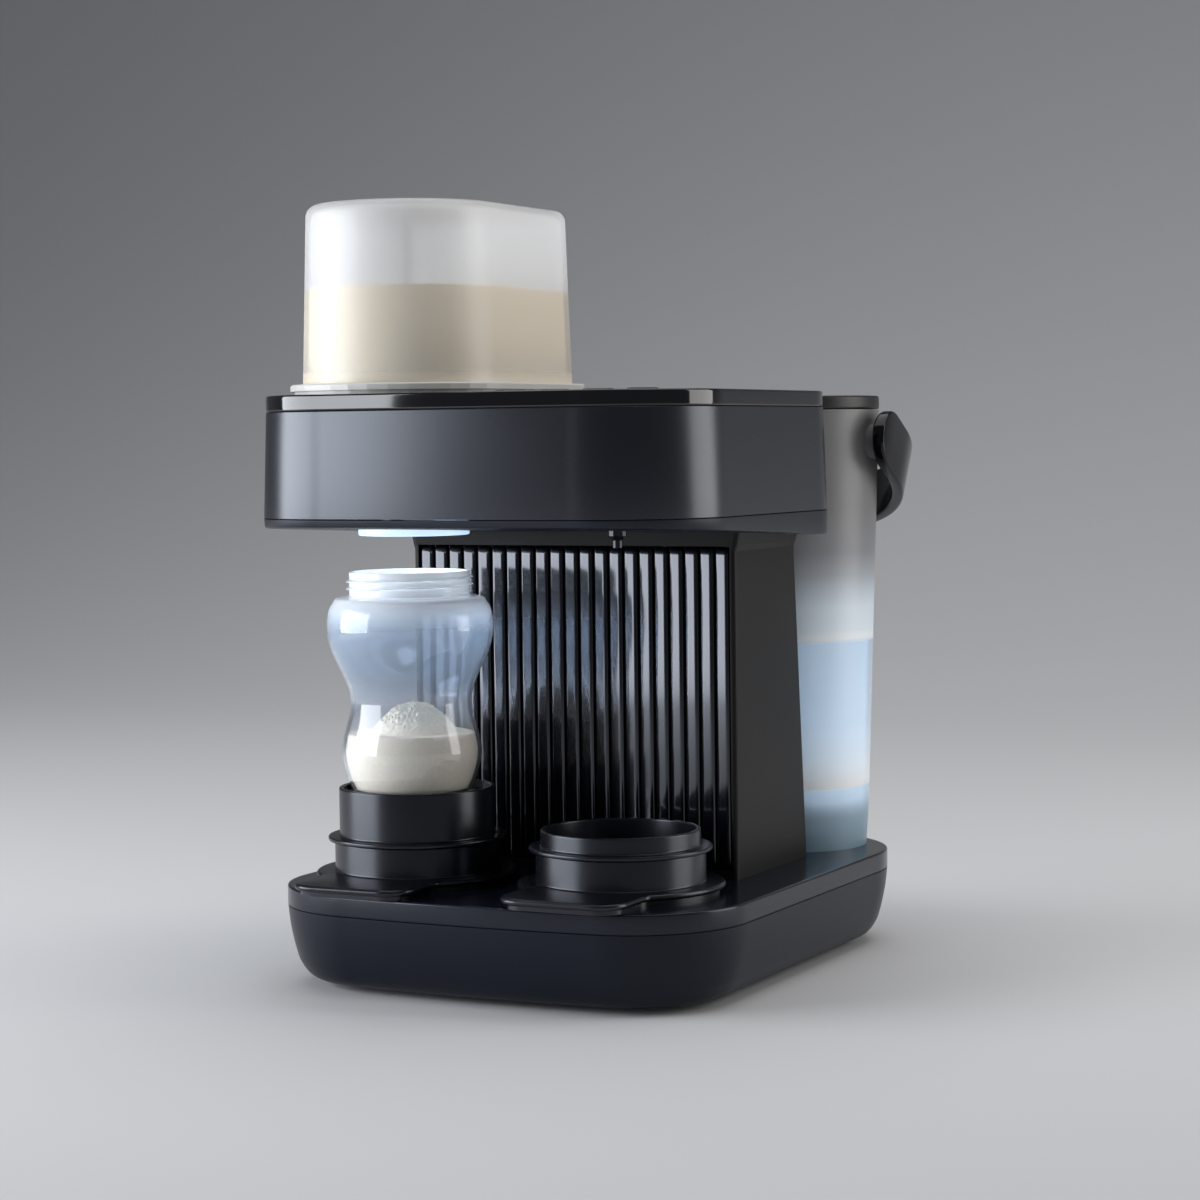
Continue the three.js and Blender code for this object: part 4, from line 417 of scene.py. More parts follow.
# the tank's tones by height paint light and shade: painted highlight bands at 72-74 mm and at the water line
# (139.6-144 mm), the water zone a pale blue painted glow that is brightest near 84 mm, and above the water a
# grey that grows darker towards the top as painted shadow of the handle; darker teal towards the foot
frostedTank = frosted("frostedTank", [
    (36, (0.22, 0.32, 0.39), 0.95), (50, (0.24, 0.36, 0.45), 0.92), (58, (0.31, 0.43, 0.54), 0.9),
    (62, (0.46, 0.60, 0.74), 0.8), (65, (0.66, 0.80, 0.93), 0.6), (71, (0.68, 0.80, 0.92), 0.5),
    (72, (0.98, 0.97, 0.93), 0.8), (74, (0.95, 0.96, 0.97), 0.8), (84, (0.88, 0.94, 1.0), 0.6),
    (100, (0.76, 0.87, 0.98), 0.5), (138.6, (0.62, 0.74, 0.86), 0.5), (139.6, (0.95, 0.98, 1.0), 0.8),
    (142, (0.95, 0.98, 1.0), 0.8), (144, (0.84, 0.92, 0.98), 0.8), (155, (0.78, 0.86, 0.93), 0.8),
    (163, (0.60, 0.66, 0.72), 0.82), (170, (0.42, 0.45, 0.49), 0.85), (180, (0.28, 0.285, 0.30), 0.88),
    (200, (0.22, 0.22, 0.225), 0.9), (246, (0.21, 0.21, 0.21), 0.92),
], 0.36)
# the bottle's tints by height paint light and shade: whiter and less clear towards the neck as painted glow
# of the lamp ring above it, and greyer at the waist (132-150 mm) as painted shade
bottleClear = clearPlastic("bottleClear", [
    (80, (0.92, 0.94, 0.98), 0.96), (112, (0.88, 0.91, 0.97), 0.95), (132, (0.64, 0.71, 0.80), 0.88),
    (150, (0.66, 0.75, 0.86), 0.85), (158, (0.82, 0.89, 0.97), 0.6), (164, (0.92, 0.95, 1.0), 0.32),
    (178, (0.94, 0.97, 1.0), 0.26),
], 0.03)
bottleShader = bottleClear.node_tree.nodes["Principled BSDF"]
bottleShader.inputs["Coat Weight"].default_value = 0.1
bottleShader.inputs["Coat Roughness"].default_value = 0.02
waterBlue = (0.78, 0.90, 1.0)
tankWater = clearPlastic("tankWater", [(50, waterBlue, 0.3), (141, waterBlue, 0.3)], 0.1, ior=1.33)
waterShader = tankWater.node_tree.nodes["Principled BSDF"]
# the water is given a faint emission: painted glow, it is no lamp
waterShader.inputs["Emission Color"].default_value = (*waterBlue, 1)
waterShader.inputs["Emission Strength"].default_value = 0.14
milkPowder = powderMaterial("milkPowder", paint["cream"])
freshPowder = powderMaterial("freshPowder", (0.80, 0.73, 0.60))
ringGlow = lampMaterial("ringGlow", (0.60, 0.78, 0.96), 0.85)

dress(columnSatin, "column_shell", "column_rear_cover")
dress(softGrey, "foot_front_left", "foot_front_right", "foot_rear_left", "foot_rear_right",
      "tank_spigot_seal")
dress(brightSteel, "base_screw_front", "base_screw_left", "base_screw_right", "base_screw_rear",
      "flow_heater", "dosing_motor", "motor_bracket", "handle_pin_left", "handle_pin_right")
dress(innerWhite, "socket_pin", "water_pump", "supply_hose", "cold_pipe", "hot_pipe", "powder_chute",
      "motor_pinion", "drive_coupling", "tank_valve")
dress(creamPlastic, "hopper_base", "dosing_shutter", "dosing_wheel", "agitator")
dress(boardGreen, "power_board", "control_board")
dress(tubSatin, "mains_inlet")
dress(standSatin, "water_spout")
dress(panelGloss, "control_panel", "display_window")
dress(buttonSatin, "button_power", "button_less", "button_more", "button_start")


print("stage: base")
tub = {
    "low": 2.0, "top": 34.6, "drawIn": 17, "wall": 2.5, "floor": 3.2,
    "ventFront": 90, "ventRear": 120, "ventPitch": 7, "ventHalf": 1.5, "footHole": 7.3, "footSeat": 3.0,
    "screwHole": 3.5, "screwSeat": 3.6, "inlet": (-42.3, -17.7, 158, 196, 8.7, 27.3),
}
tubFeet = [(x, y) for x in (-62, 62) for y in (-30, 150)]
tubScrews = [(-9, -44), (-78, 56), (78, 56), (0, 172)]
tubShares = np.array([
    [0, 1], [0.03, 0.7], [0.08, 0.53], [0.14, 0.42], [0.27, 0.27], [0.47, 0.16], [0.72, 0.06], [1, 0],
])


# The base's outline drawn in towards the bottom by a smoothed table of height share to inset share.
def tubShape():
    share = np.linspace(0, 1, 40) ** 1.6
    inset = np.interp(share, tubShares[:, 0], tubShares[:, 1])
    soft = np.convolve(np.pad(inset, 2, mode="edge"), [0.1, 0.2, 0.4, 0.2, 0.1], "valid")
    soft[0], soft[-1] = 1.0, 0.0
    z = tub["low"] + share * (tub["top"] - tub["low"])
    outer = np.stack([-tub["drawIn"] * soft, z], 1)[::-1]
    outer = np.concatenate([[[-0.5, tub["top"]], [-0.1, tub["top"] - 0.15]], outer[1:]])
    inner = np.stack([-tub["drawIn"] * soft - tub["wall"], z], 1)
    inner = inner[inner[:, 1] > tub["low"] + tub["floor"]]
    floor = [[inner[0, 0], tub["low"] + tub["floor"]]]
    bottom = [[-tub["drawIn"] - 1.5, tub["low"]]]
    return skin(carried(planLoop(**base), np.concatenate([floor, inner, outer, bottom])))


tubPiece = build("base_tub_shell", tubShape(), tubSatin, "machine", ["base_tub"])
vents = [blockShape(x - tub["ventHalf"], x + tub["ventHalf"], tub["ventFront"], tub["ventRear"], 0, 7)
         for x in np.arange(-28, 29, tub["ventPitch"])]
feet = [drum(x, y, tub["footHole"], 0, tub["footSeat"]) for x, y in tubFeet]
screws = [drum(x, y, tub["screwHole"], 0, tub["screwSeat"], 32) for x, y in tubScrews]
carve(tubPiece, *vents, *feet, *screws, blockShape(*tub["inlet"]))

deck = {
    "low": 34.6, "top": 43.2, "edge": 1.0, "well": 4.9, "wellRadius": 36.4,
    "stands": ((-53, -11.5), (45.2, -11.5)),
    "socketY": 152.4, "socket": 15.2, "socketWall": 2.0, "socketLow": 29.2, "socketFloor": 31.2,
    "column": (-60, 60, 46, 88),
}
deckProfile = np.concatenate([
    [[-2.5, deck["low"]]],
    rounded([[-1.5, deck["low"]], [0, deck["low"]], [0, deck["top"]], [-3, deck["top"]]],
            deck["edge"], 6)[1:],
])
deckShape = skin(carried(planLoop(**base), deckProfile))
deckPiece = build("base_deck", deckShape, deckGloss, "machine", ["base_cover"])
wells = [drum(x, y, deck["wellRadius"], deck["top"] - deck["well"], 50, 96) for x, y in deck["stands"]]
carve(deckPiece, *wells, drum(0, deck["socketY"], deck["socket"], 30, 50),
      blockShape(*deck["column"], 30, 50))
socketIn, socketOut = deck["socket"], deck["socket"] + deck["socketWall"]
socketWall = rounded([
    [socketIn, deck["top"]], [socketOut, deck["top"]], [socketOut, deck["socketLow"]],
    [3, deck["socketLow"]], [3, deck["socketFloor"]], [socketIn, deck["socketFloor"]],
    [socketIn, deck["top"]],
], 0.4)
build("tank_socket", skin(turned(socketWall[:-1], 0, deck["socketY"]), wrap=True), deckGloss, "machine")


print("stage: head")
slope = {"front": 198.0, "drop": 8.3 / 182.2}


def underside(y):
    return slope["front"] - slope["drop"] * (y + head["front"])


headLoop = planLoop(**head)


# The head's outline carried down from the seam, with the lowest rows laid on the sloping plane.
def headTray():
    rows = carried(headLoop, [
        [-1, 0], [-1, 201.3], [-0.6, 201.5], [1.1, 201.5], [1.55, 201.2], [1.3, 1], [0.9, 0.3], [0.1, 0],
    ])
    floorZ = underside(rows[0, :, 1])
    rows[0, :, 2] = floorZ + 2.5
    for k, lift in ((5, 1.0), (6, 0.3), (7, 0.0)):
        rows[k, :, 2] = underside(rows[k, :, 1]) + lift
    rows[5, :, 2] = np.minimum(rows[5, :, 2], 200.8)
    return skin(rows)


tray = {"outlet": (-52.5, -11.5, 24.3), "nozzle": (45.2, -11.5, 4.3), "cut": (180, 201.4)}
trayPiece = build("head_tray", headTray(), headUnder, "machine", ["head_lower_shell"])
carve(trayPiece, drum(*tray["outlet"], *tray["cut"]), drum(*tray["nozzle"], *tray["cut"], 32),
      blockShape(*deck["column"], *tray["cut"]))
coverProfile = rounded([
    [0.6, 201.9], [1.55, 201.55], [0.0, 246.15], [-0.6, 246.2], [-2.5, 246.2], [-0.9, 201.9],
], 0.35, 4)
build("head_side", skin(carried(headLoop, coverProfile), wrap=True), headSatin, "machine", ["head_cover"])

cap = {"low": 246.5, "top": 253.1, "plate": 3.4, "edge": 1.1, "opening": (-46.3, -25, 40)}
capProfile = np.concatenate([
    [[-3.0, cap["top"] - cap["plate"]], [-3.0, 246.2]],
    rounded([[-1.0, 246.2], [-0.05, cap["low"]], [-0.05, cap["top"]], [-4, cap["top"]]],
            cap["edge"], 7)[1:],
])
capPiece = build("head_top", skin(carried(headLoop, capProfile)), capGloss, "machine", ["head_cap"])
panel = {
    "x": 45, "y": -40, "halfWidth": 46.3, "halfDepth": 17.3, "round": 6.3, "floor": 251.8,
    "buttonY": -48, "buttonHole": 7.0,
}
buttons = {"button_power": 15, "button_less": 35, "button_more": 55, "button_start": 75}
panelReach, panelDepth = panel["halfWidth"] - panel["round"], panel["halfDepth"] - panel["round"]
recess = evenLoop([
    arcOf(panel["x"] + sx * panelReach, panel["y"] + sy * panelDepth, panel["round"], start, start + 90, 10)
    for sx, sy, start in ((1, 1, 0), (-1, 1, 90), (-1, -1, 180), (1, -1, 270))
], 120)
carve(capPiece, drum(*cap["opening"], 240, 260, 96), skin(carried(recess, [[0, panel["floor"]], [0, 255]])),
      *[drum(x, panel["buttonY"], panel["buttonHole"], 240, 251.79, 48) for x in buttons.values()])

print("stage: stands")
stand = {
    "plate": 44.0, "reach": 64.2, "tabHalf": 28.3, "tabRound": 12, "notch": 5.5, "deck": 43.2,
    "foot": 45.2, "top": 48.0, "ring": 35.9, "ringInside": 34.4, "ringTop": 61.0, "skirt": 40.6,
}


# A circle with a tab in front, joined by small hollow arcs that touch both.
def standLoop(count=360):
    x = stand["tabHalf"] + stand["notch"]
    y = -math.sqrt((stand["plate"] + stand["notch"]) ** 2 - x * x)
    meet = math.degrees(math.atan2(y, x))
    corner, low = stand["tabHalf"] - stand["tabRound"], stand["tabRound"] - stand["reach"]
    return evenLoop([
        arcOf(0, 0, stand["plate"], meet, 180 - meet, 200),
        arcOf(-x, y, stand["notch"], -meet, 0, 24),
        arcOf(-corner, low, stand["tabRound"], 180, 270, 30),
        arcOf(corner, low, stand["tabRound"], -90, 0, 30),
        arcOf(x, y, stand["notch"], 180, 180 + meet, 24),
    ], count)


# The plate's loop carried up its rounded edge, then each point drawn straight inwards to the ring's circle.
def holderShape(x, y):
    loop = standLoop()
    angle = np.arctan2(loop[:, 1], loop[:, 0])

    def circle(radius, z):
        return np.stack([radius * np.cos(angle), radius * np.sin(angle), np.full_like(angle, z)], 1)[None]

    t = np.radians(np.linspace(-80, 90, 9))
    half = (stand["top"] - stand["foot"]) / 2
    edge = np.stack([half * np.cos(t) - half, stand["foot"] + half + half * np.sin(t)], 1)
    plate = carried(loop, np.concatenate([[[-2.5, stand["deck"]], [-2.5, stand["foot"]]], edge]))
    wall = rounded([
        [stand["ring"] + 3, stand["top"]], [stand["ring"], stand["top"]], [stand["ring"], stand["ringTop"]],
        [stand["ringInside"], stand["ringTop"]], [stand["ringInside"], stand["skirt"]],
        [stand["ring"], stand["skirt"]], [stand["ring"], stand["deck"]],
    ], 0.7, 5)
    rows = np.concatenate([plate, *[circle(r, z) for r, z in wall]])
    return skin(rows + [x, y, 0], wrap=True)


collar = {
    "radius": 33.8, "wall": 2, "flange": 38.7, "tall": 20.9, "short": 7, "middle": 62.0, "half": 1.0,
    "rest": 3.3, "web": 2,
}


# The adapter's section turned about its axis; turned over, its heights are counted downwards.
def adapterShape(x, y, up):
    c = collar
    inside, top = c["radius"] - c["wall"], c["half"] + c["tall"]
    section = rounded([
        [0, top - c["rest"] - c["web"]], [inside, top - c["rest"] - c["web"]],
        [inside, -c["half"] - c["short"]], [c["radius"], -c["half"] - c["short"]],
        [c["radius"], -c["half"]], [c["flange"], -c["half"]],
        [c["flange"], c["half"]], [c["radius"], c["half"]], [c["radius"], top], [inside, top],
        [inside, top - c["rest"]], [0, top - c["rest"]],
    ], 0.75, 6)
    section[:, 1] = c["middle"] + up * section[:, 1]
    return skin(turned(section, x, y, 120))


for side, (x, y), up in (("left", deck["stands"][0], 1), ("right", deck["stands"][1], -1)):
    build(side + "_stand_plate", holderShape(x, y), standSatin, side + "_holder", [side + "_holder"])
    build(side + "_stand_collar", adapterShape(x, y, up), standSatin, side + "_adapter", [side + "_adapter"])

print("stage: column")
ribs = {
    "count": 21, "pitch": 7.25, "gap": 0.25, "front": 33.8, "depth": 2.4, "plate": 2.0, "low": 47.5,
    "high": 186.2, "end": 3.2, "halfWidth": 76.0, "fullness": 4.2, "lean": 0.23,
}


# A height field: (1 - |u|^n)^(1/n), leaning by a share of u, across each rib, sinking away at both ends.
def ribShape():
    half = ribs["pitch"] / 2 - ribs["gap"]
    span = np.sin(np.linspace(-np.pi / 2, np.pi / 2, 23))
    centres = (np.arange(ribs["count"]) - (ribs["count"] - 1) / 2) * ribs["pitch"]
    across = (centres[:, None] + half * span[None]).ravel()
    x = np.concatenate([[-ribs["halfWidth"]], across, [ribs["halfWidth"]]])
    full, lean = ribs["fullness"], ribs["lean"]
    bulge = np.clip(1 - np.abs(span) ** full, 0, 1) ** (1 / full) * (1 + lean * span) / (1 + 0.4 * lean)
    out = np.concatenate([[0], np.tile(bulge, ribs["count"]), [0]])
    t = np.linspace(0, np.pi / 2, 7)
    end = ribs["end"] * (1 - np.cos(t))
    z = np.concatenate([ribs["low"] + end, ribs["high"] - end[::-1]])
    fade = np.concatenate([np.sin(t), np.sin(t[::-1])])
    front = ribs["front"] + ribs["depth"] - ribs["depth"] * out[None] * fade[:, None]
    backY = np.full_like(front, ribs["front"] + ribs["depth"] + ribs["plate"])
    gridX, gridZ = np.broadcast_to(x[None], front.shape), np.broadcast_to(z[:, None], front.shape)
    face = np.stack([gridX, front, gridZ], 2)
    rear = np.stack([gridX, backY, gridZ], 2)[:, ::-1]
    return skin(np.concatenate([face, rear], 1))


build("fluted_panel", ribShape(), ribSatin, "machine", ["ribbed_panel"], sharp=50)

print("stage: lamp")
lamp = {"x": -52.5, "y": -11.5, "bore": 13.5, "radius": 24, "low": 192.9, "high": 199}
lampProfile = rounded([
    [lamp["bore"], lamp["low"]], [lamp["radius"], lamp["low"]], [lamp["radius"], lamp["high"]],
    [lamp["bore"], lamp["high"]], [lamp["bore"], lamp["low"]],
], 0.9, 6)
build("lamp_ring", skin(turned(lampProfile[:-1], lamp["x"], lamp["y"], 120), wrap=True), ringGlow,
      "machine", ["light_ring"])

print("stage: bottle")
bottle = {
    "x": -55.2, "y": -11.5, "low": 80.7, "height": 96.6, "foot": 26.8, "wall": 1.5, "neck": 26.2,
    "bodyTop": 0.86, "neckLow": 0.905, "threadTop": 0.985, "lip": 0.992,
    "thread": 1.5, "threadPitch": 3.1, "threadFade": 1.2,
}
bottleShares = np.array([
    [0.0, 0.80], [0.006, 0.88], [0.02, 0.95], [0.05, 1.01], [0.1, 1.077], [0.15, 1.12], [0.2, 1.132],
    [0.25, 1.105], [0.3, 1.06], [0.345, 1.015], [0.39, 0.985], [0.44, 0.985], [0.49, 1.03], [0.54, 1.105],
    [0.59, 1.19], [0.64, 1.27], [0.69, 1.325], [0.74, 1.345], [0.79, 1.34], [0.83, 1.31], [0.86, 1.25],
    [0.88, 1.14], [0.89, 0.985],
])


# Values between the table's rows on cubic curves whose slopes are the mean of the neighbouring steps.
def smoothThrough(table, at):
    x, y = table[:, 0], table[:, 1]
    slopeAt = np.gradient(y, x)
    k = np.clip(np.searchsorted(x, at) - 1, 0, len(x) - 2)
    h = x[k + 1] - x[k]
    t = (at - x[k]) / h
    return ((2 * t ** 3 - 3 * t ** 2 + 1) * y[k] + (t ** 3 - 2 * t ** 2 + t) * h * slopeAt[k]
            + (-2 * t ** 3 + 3 * t ** 2) * y[k + 1] + (t ** 3 - t ** 2) * h * slopeAt[k + 1])


# The body's smoothed radii turned round, then the neck, whose thread is a ridge that climbs with the angle.
def bottleShape(count=128):
    b = bottle
    tall, bodyTop, neckLow, lip = b["height"], b["bodyTop"], b["neckLow"], b["lip"]
    bodyShare = np.linspace(0, bodyTop, 70)
    bodyRadius = smoothThrough(bottleShares, bodyShare) * b["foot"]
    shoulder = rounded([[bodyRadius[-1], bodyTop * tall], [b["neck"] + 6, 0.884 * tall],
                        [b["neck"], 0.888 * tall], [b["neck"], 0.9 * tall]], 2.4, 8)[1:]
    neckZ = np.linspace(neckLow, lip, 34) * tall
    angle = np.linspace(0, 2 * np.pi, count, endpoint=False)
    climb = (neckZ[:, None] - neckLow * tall) / b["threadPitch"] - angle[None] / (2 * np.pi)
    ridge = np.clip(np.cos(2 * np.pi * climb), 0, 1) ** 1.5
    inset = np.minimum(neckZ - neckZ[0], b["threadTop"] * tall - neckZ)
    envelope = np.clip(inset / b["threadFade"], 0, 1)[:, None]
    radius = b["neck"] + b["thread"] * ridge * envelope
    neckHeights = np.broadcast_to(neckZ[:, None], radius.shape)
    neck = np.stack([radius * np.cos(angle), radius * np.sin(angle), neckHeights], 2)
    body = turned(np.stack([bodyRadius, bodyShare * tall], 1), 0, 0, count)
    neckIn = b["neck"] - b["wall"]
    insideShare = np.linspace(0.02, bodyTop, 60)[::-1]
    insideRadius = smoothThrough(bottleShares, insideShare) * b["foot"] - b["wall"]
    rim = rounded([[b["neck"], lip * tall], [b["neck"], tall], [neckIn, tall],
                   [neckIn, 0.89 * tall], [insideRadius[0], bodyTop * tall]], 0.6, 5)[1:-1]
    inside = np.stack([insideRadius, insideShare * tall], 1)
    rows = np.concatenate([
        turned([[bodyRadius[0] - 4, 0.8]], 0, 0, count), turned([[bodyRadius[0] - 2, 0.1]], 0, 0, count),
        body, turned(shoulder, 0, 0, count), neck, turned(rim, 0, 0, count), turned(inside, 0, 0, count),
    ])
    return skin(rows + [b["x"], b["y"], b["low"]])


clearPieces = [build("feeding_bottle", bottleShape(), bottleClear, "bottle", ["bottle"], sharp=60)]

mound = {
    "level": 107.0, "peak": 13.0, "foot": 19.0, "curve": 2.1, "aside": 1.5, "gap": 0.25, "crumb": 0.32,
}


# The bottle's inside up to the level, under a heap of height peak * (1 - (r / foot)^curve) with crumbs on it.
def bottlePowder(count=180):
    b = bottle
    share = np.linspace(0.025, (mound["level"] - b["low"]) / b["height"], 16)
    wallRadius = smoothThrough(bottleShares, share) * b["foot"] - b["wall"] - mound["gap"]
    rows = turned(np.stack([wallRadius, share * b["height"] + b["low"]], 1), 0, 0, count)
    radius = np.linspace(wallRadius[-1], 0.6, 64)[1:]
    angle = np.linspace(0, 2 * np.pi, count, endpoint=False)
    r, a = np.meshgrid(radius, angle, indexing="ij")
    x, y = r * np.cos(a), r * np.sin(a)
    away = np.hypot(x - mound["aside"], y)
    cone = np.clip(1 - (away / mound["foot"]) ** mound["curve"], 0, 1)
    bumps = np.sin(0.62 * x + 1.3) * np.cos(0.55 * y)
    bumps += 0.6 * np.sin(1.4 * x - 0.9 * y) + 0.4 * np.sin(2.3 * y + 1.9 * x)
    crumbs = np.random.default_rng(5).normal(0, mound["crumb"], x.shape) * np.clip(r / 6, 0.2, 1)
    rough = 0.3 * bumps * (0.3 + cone) + crumbs * (0.25 + np.minimum(1, 2 * cone))
    z = mound["level"] + mound["peak"] * cone + rough
    rows = np.concatenate([rows, np.stack([x, y, z], 2)])
    return skin(rows + [b["x"], b["y"], 0])


build("bottle_powder", bottlePowder(), freshPowder, "bottle", sharp=80)

print("stage: hopper")
hopper = {
    "x": -46.3, "y": -25, "radius": 44.8, "rear": 48, "rearRound": 9, "low": 257.6, "top": 333.5,
    "draft": 2.4, "wall": 2, "round": 5, "powderGap": 0.4, "powderTop": 298.3,
}


# A half circle in front, straight sides and two rounded corners at the back.
def hopperLoop(count=260):
    h = hopper
    side, rear, r = h["radius"], h["rear"], h["rearRound"]
    return evenLoop([
        arcOf(h["x"], h["y"], side, 180, 360, 120),
        arcOf(h["x"] + side - r, rear - r, r, 0, 90, 20),
        arcOf(h["x"] - side + r, rear - r, r, 90, 180, 20),
    ], count)


# The outline drawn in evenly with height, then round the top edge; the inside is the same less the wall.
def jarShape():
    h = hopper
    t = np.radians(np.linspace(0, 86, 10))
    shoulder = h["top"] - h["round"]
    z = np.concatenate([np.linspace(h["low"], shoulder, 8), h["top"] - h["round"] * (1 - np.sin(t[1:]))])
    turn = np.concatenate([np.zeros(8), h["round"] * (1 - np.cos(t[1:]))])
    inset = h["draft"] * (z - h["low"]) / (h["top"] - h["low"]) + turn
    outer = np.stack([-inset, z], 1)
    inner = np.stack([-inset - h["wall"], z - np.where(z > h["low"] + 1, h["wall"], 0)], 1)[::-1]
    return skin(carried(hopperLoop(), np.concatenate([inner, outer])))


clearPieces.append(build("powder_jar", jarShape(), frostedJar, "hopper", ["hopper_jar"], sharp=50))


# The jar's inside between two heights, with a gently uneven top that leans to one side.
def hopperPowder():
    h = hopper
    levels = np.array([262.4, 263.0, 270, 285, 297.6, 298.2])
    share = (levels - h["low"]) / (h["top"] - h["low"])
    drawn = h["wall"] + h["powderGap"] + h["draft"] * share + np.array([2.6, 2.2, 0, 0, 0, 0])
    rows = carried(hopperLoop(), np.stack([-drawn, levels], 1))
    middle = np.array([h["x"], h["y"] + 12])
    steps = np.linspace(0.97, 0.02, 24)[:, None, None]
    top = middle + (rows[-1][None, :, :2] - middle) * steps
    wave = 0.5 * np.sin(0.11 * top[..., 0] + 1) * np.cos(0.09 * top[..., 1])
    wave += 0.2 * np.sin(0.6 * top[..., 0] + 0.5 * top[..., 1])
    rows = np.concatenate([rows, np.concatenate([top, (h["powderTop"] + wave)[..., None]], 2)])
    return skin(rows)


build("hopper_powder", hopperPowder(), milkPowder, "hopper", sharp=80)

print("stage: tank")
tank = {
    "y": 152.4, "half": 55, "low": 35.5, "high": 42, "bottom": 43.2, "top": 245.4, "wall": 2.2,
    "floor": 53.7, "floorRound": 6, "water": 140.4,
    "spigot": 12.5, "port": 5, "spigotLow": 37.2, "spigotHigh": 51.7,
    "bossFrom": 95.0, "bossTo": 101.2, "bossZ": 231, "boss": 8,
}


# A stadium: two half circles joined by straight sides, at the lower radius.
def tankLoop(count=280):
    return evenLoop([
        arcOf(tank["half"], tank["y"], tank["low"], -90, 90, 100),
        arcOf(-tank["half"], tank["y"], tank["low"], 90, 270, 100),
    ], count)


def tankOffset(z):
    share = (np.asarray(z, float) - tank["bottom"]) / (tank["top"] - tank["bottom"])
    return (tank["high"] - tank["low"]) * share


# The stadium carried up its widening wall, over the rim and down inside to a rounded floor.
def tankShape():
    k = tank
    z = np.linspace(k["bottom"], k["top"], 12)
    outer = np.stack([tankOffset(z), z], 1)
    outer[0, 0] -= 0.6
    foot = np.array([
        [-k["wall"] - 6, k["floor"] - 2], [-k["wall"], k["floor"] - 3], [-k["wall"] + 0.2, k["bottom"]],
    ])
    t = np.radians(np.linspace(0, 90, 7))
    r = k["floorRound"]
    bendIn = tankOffset(k["floor"] + r) - k["wall"] - r * (1 - np.cos(t))
    bend = np.stack([bendIn, k["floor"] + r * (1 - np.sin(t))], 1)
    zi = z[z > k["floor"] + 8][::-1]
    inner = np.stack([tankOffset(zi) - k["wall"], zi], 1)
    return skin(carried(tankLoop(), np.concatenate([foot, outer, inner, bend])))


# A cylinder along X with softened edges.
def sidewaysDrum(x0, x1, y, z, radius, edge=0.5, count=64):
    profile = rounded([[0.01, x0], [radius, x0], [radius, x1], [0.01, x1]], edge, 5)
    turnedRows = turned(profile, 0, 0, count)
    return skin(np.stack([turnedRows[..., 2], y + turnedRows[..., 0], z + turnedRows[..., 1]], 2))


tankBody = build("tank_shell", tankShape(), frostedTank, "tank", ["tank_body"], sharp=40)
spigot = rounded([
    [tank["port"], tank["spigotLow"]], [tank["spigot"], tank["spigotLow"]],
    [tank["spigot"], tank["spigotHigh"]], [tank["port"], tank["spigotHigh"]],
    [tank["port"], tank["spigotLow"]],
], 0.5)
build("tank_spigot", skin(turned(spigot[:-1], 0, tank["y"], 64), wrap=True), innerWhite, "tank")
for name, side in (("left", -1), ("right", 1)):
    start, end = side * tank["bossFrom"], side * tank["bossTo"]
    boss = sidewaysDrum(start, end, tank["y"], tank["bossZ"], tank["boss"])
    build("handle_boss_" + name, boss, frostedTank, "tank")


# The tank's inside up to the water line, with the surface's edge drawn up a little where it wets the wall.
def waterShape():
    k = tank
    z = np.concatenate([k["floor"] + np.array([0.2, 1.5, 4, 7]), np.linspace(70, k["water"], 6)])
    inset = np.array([6.0, 2.8, 0.9, 0.1, 0, 0, 0, 0, 0, 0])
    side = np.stack([tankOffset(z) - k["wall"] - 0.15 - inset, z], 1)
    edge = tankOffset(k["water"]) - k["wall"] - np.array([0.4, 1.2, 3.0])
    top = np.stack([edge, k["water"] - np.array([0.3, 0.7, 0.9])], 1)
    return skin(carried(tankLoop(), np.concatenate([side, top])))


water = build("tank_water", waterShape(), tankWater, "tank", sharp=60)
clearPieces += [tankBody, water]
for piece in clearPieces:
    piece.visible_shadow = False  # lamps reach what is inside

lid = {"low": 245.7, "top": 251.7, "plateLow": 249.3, "skirtLow": 239.4, "edge": 1.2}
lidProfile = np.concatenate([
    [[-4.2, lid["plateLow"]], [-4.2, lid["skirtLow"]], [-2.8, lid["skirtLow"]], [-2.7, lid["low"] - 0.1]],
    rounded([[-1.5, lid["low"]], [0, lid["low"]], [0, lid["top"]], [-5, lid["top"]]], lid["edge"], 7)[1:],
])
lidProfile[:, 0] += tankOffset(tank["top"])
build("tank_top", skin(carried(tankLoop(), lidProfile)), lidSatin, "tank_lid", ["tank_lid"])

handle = {
    "inside": 101.5, "thick": 5.5, "width": 27, "bend": 45, "straight": 13, "fold": 29, "pivotZ": 231,
    "edge": 1.5,
}


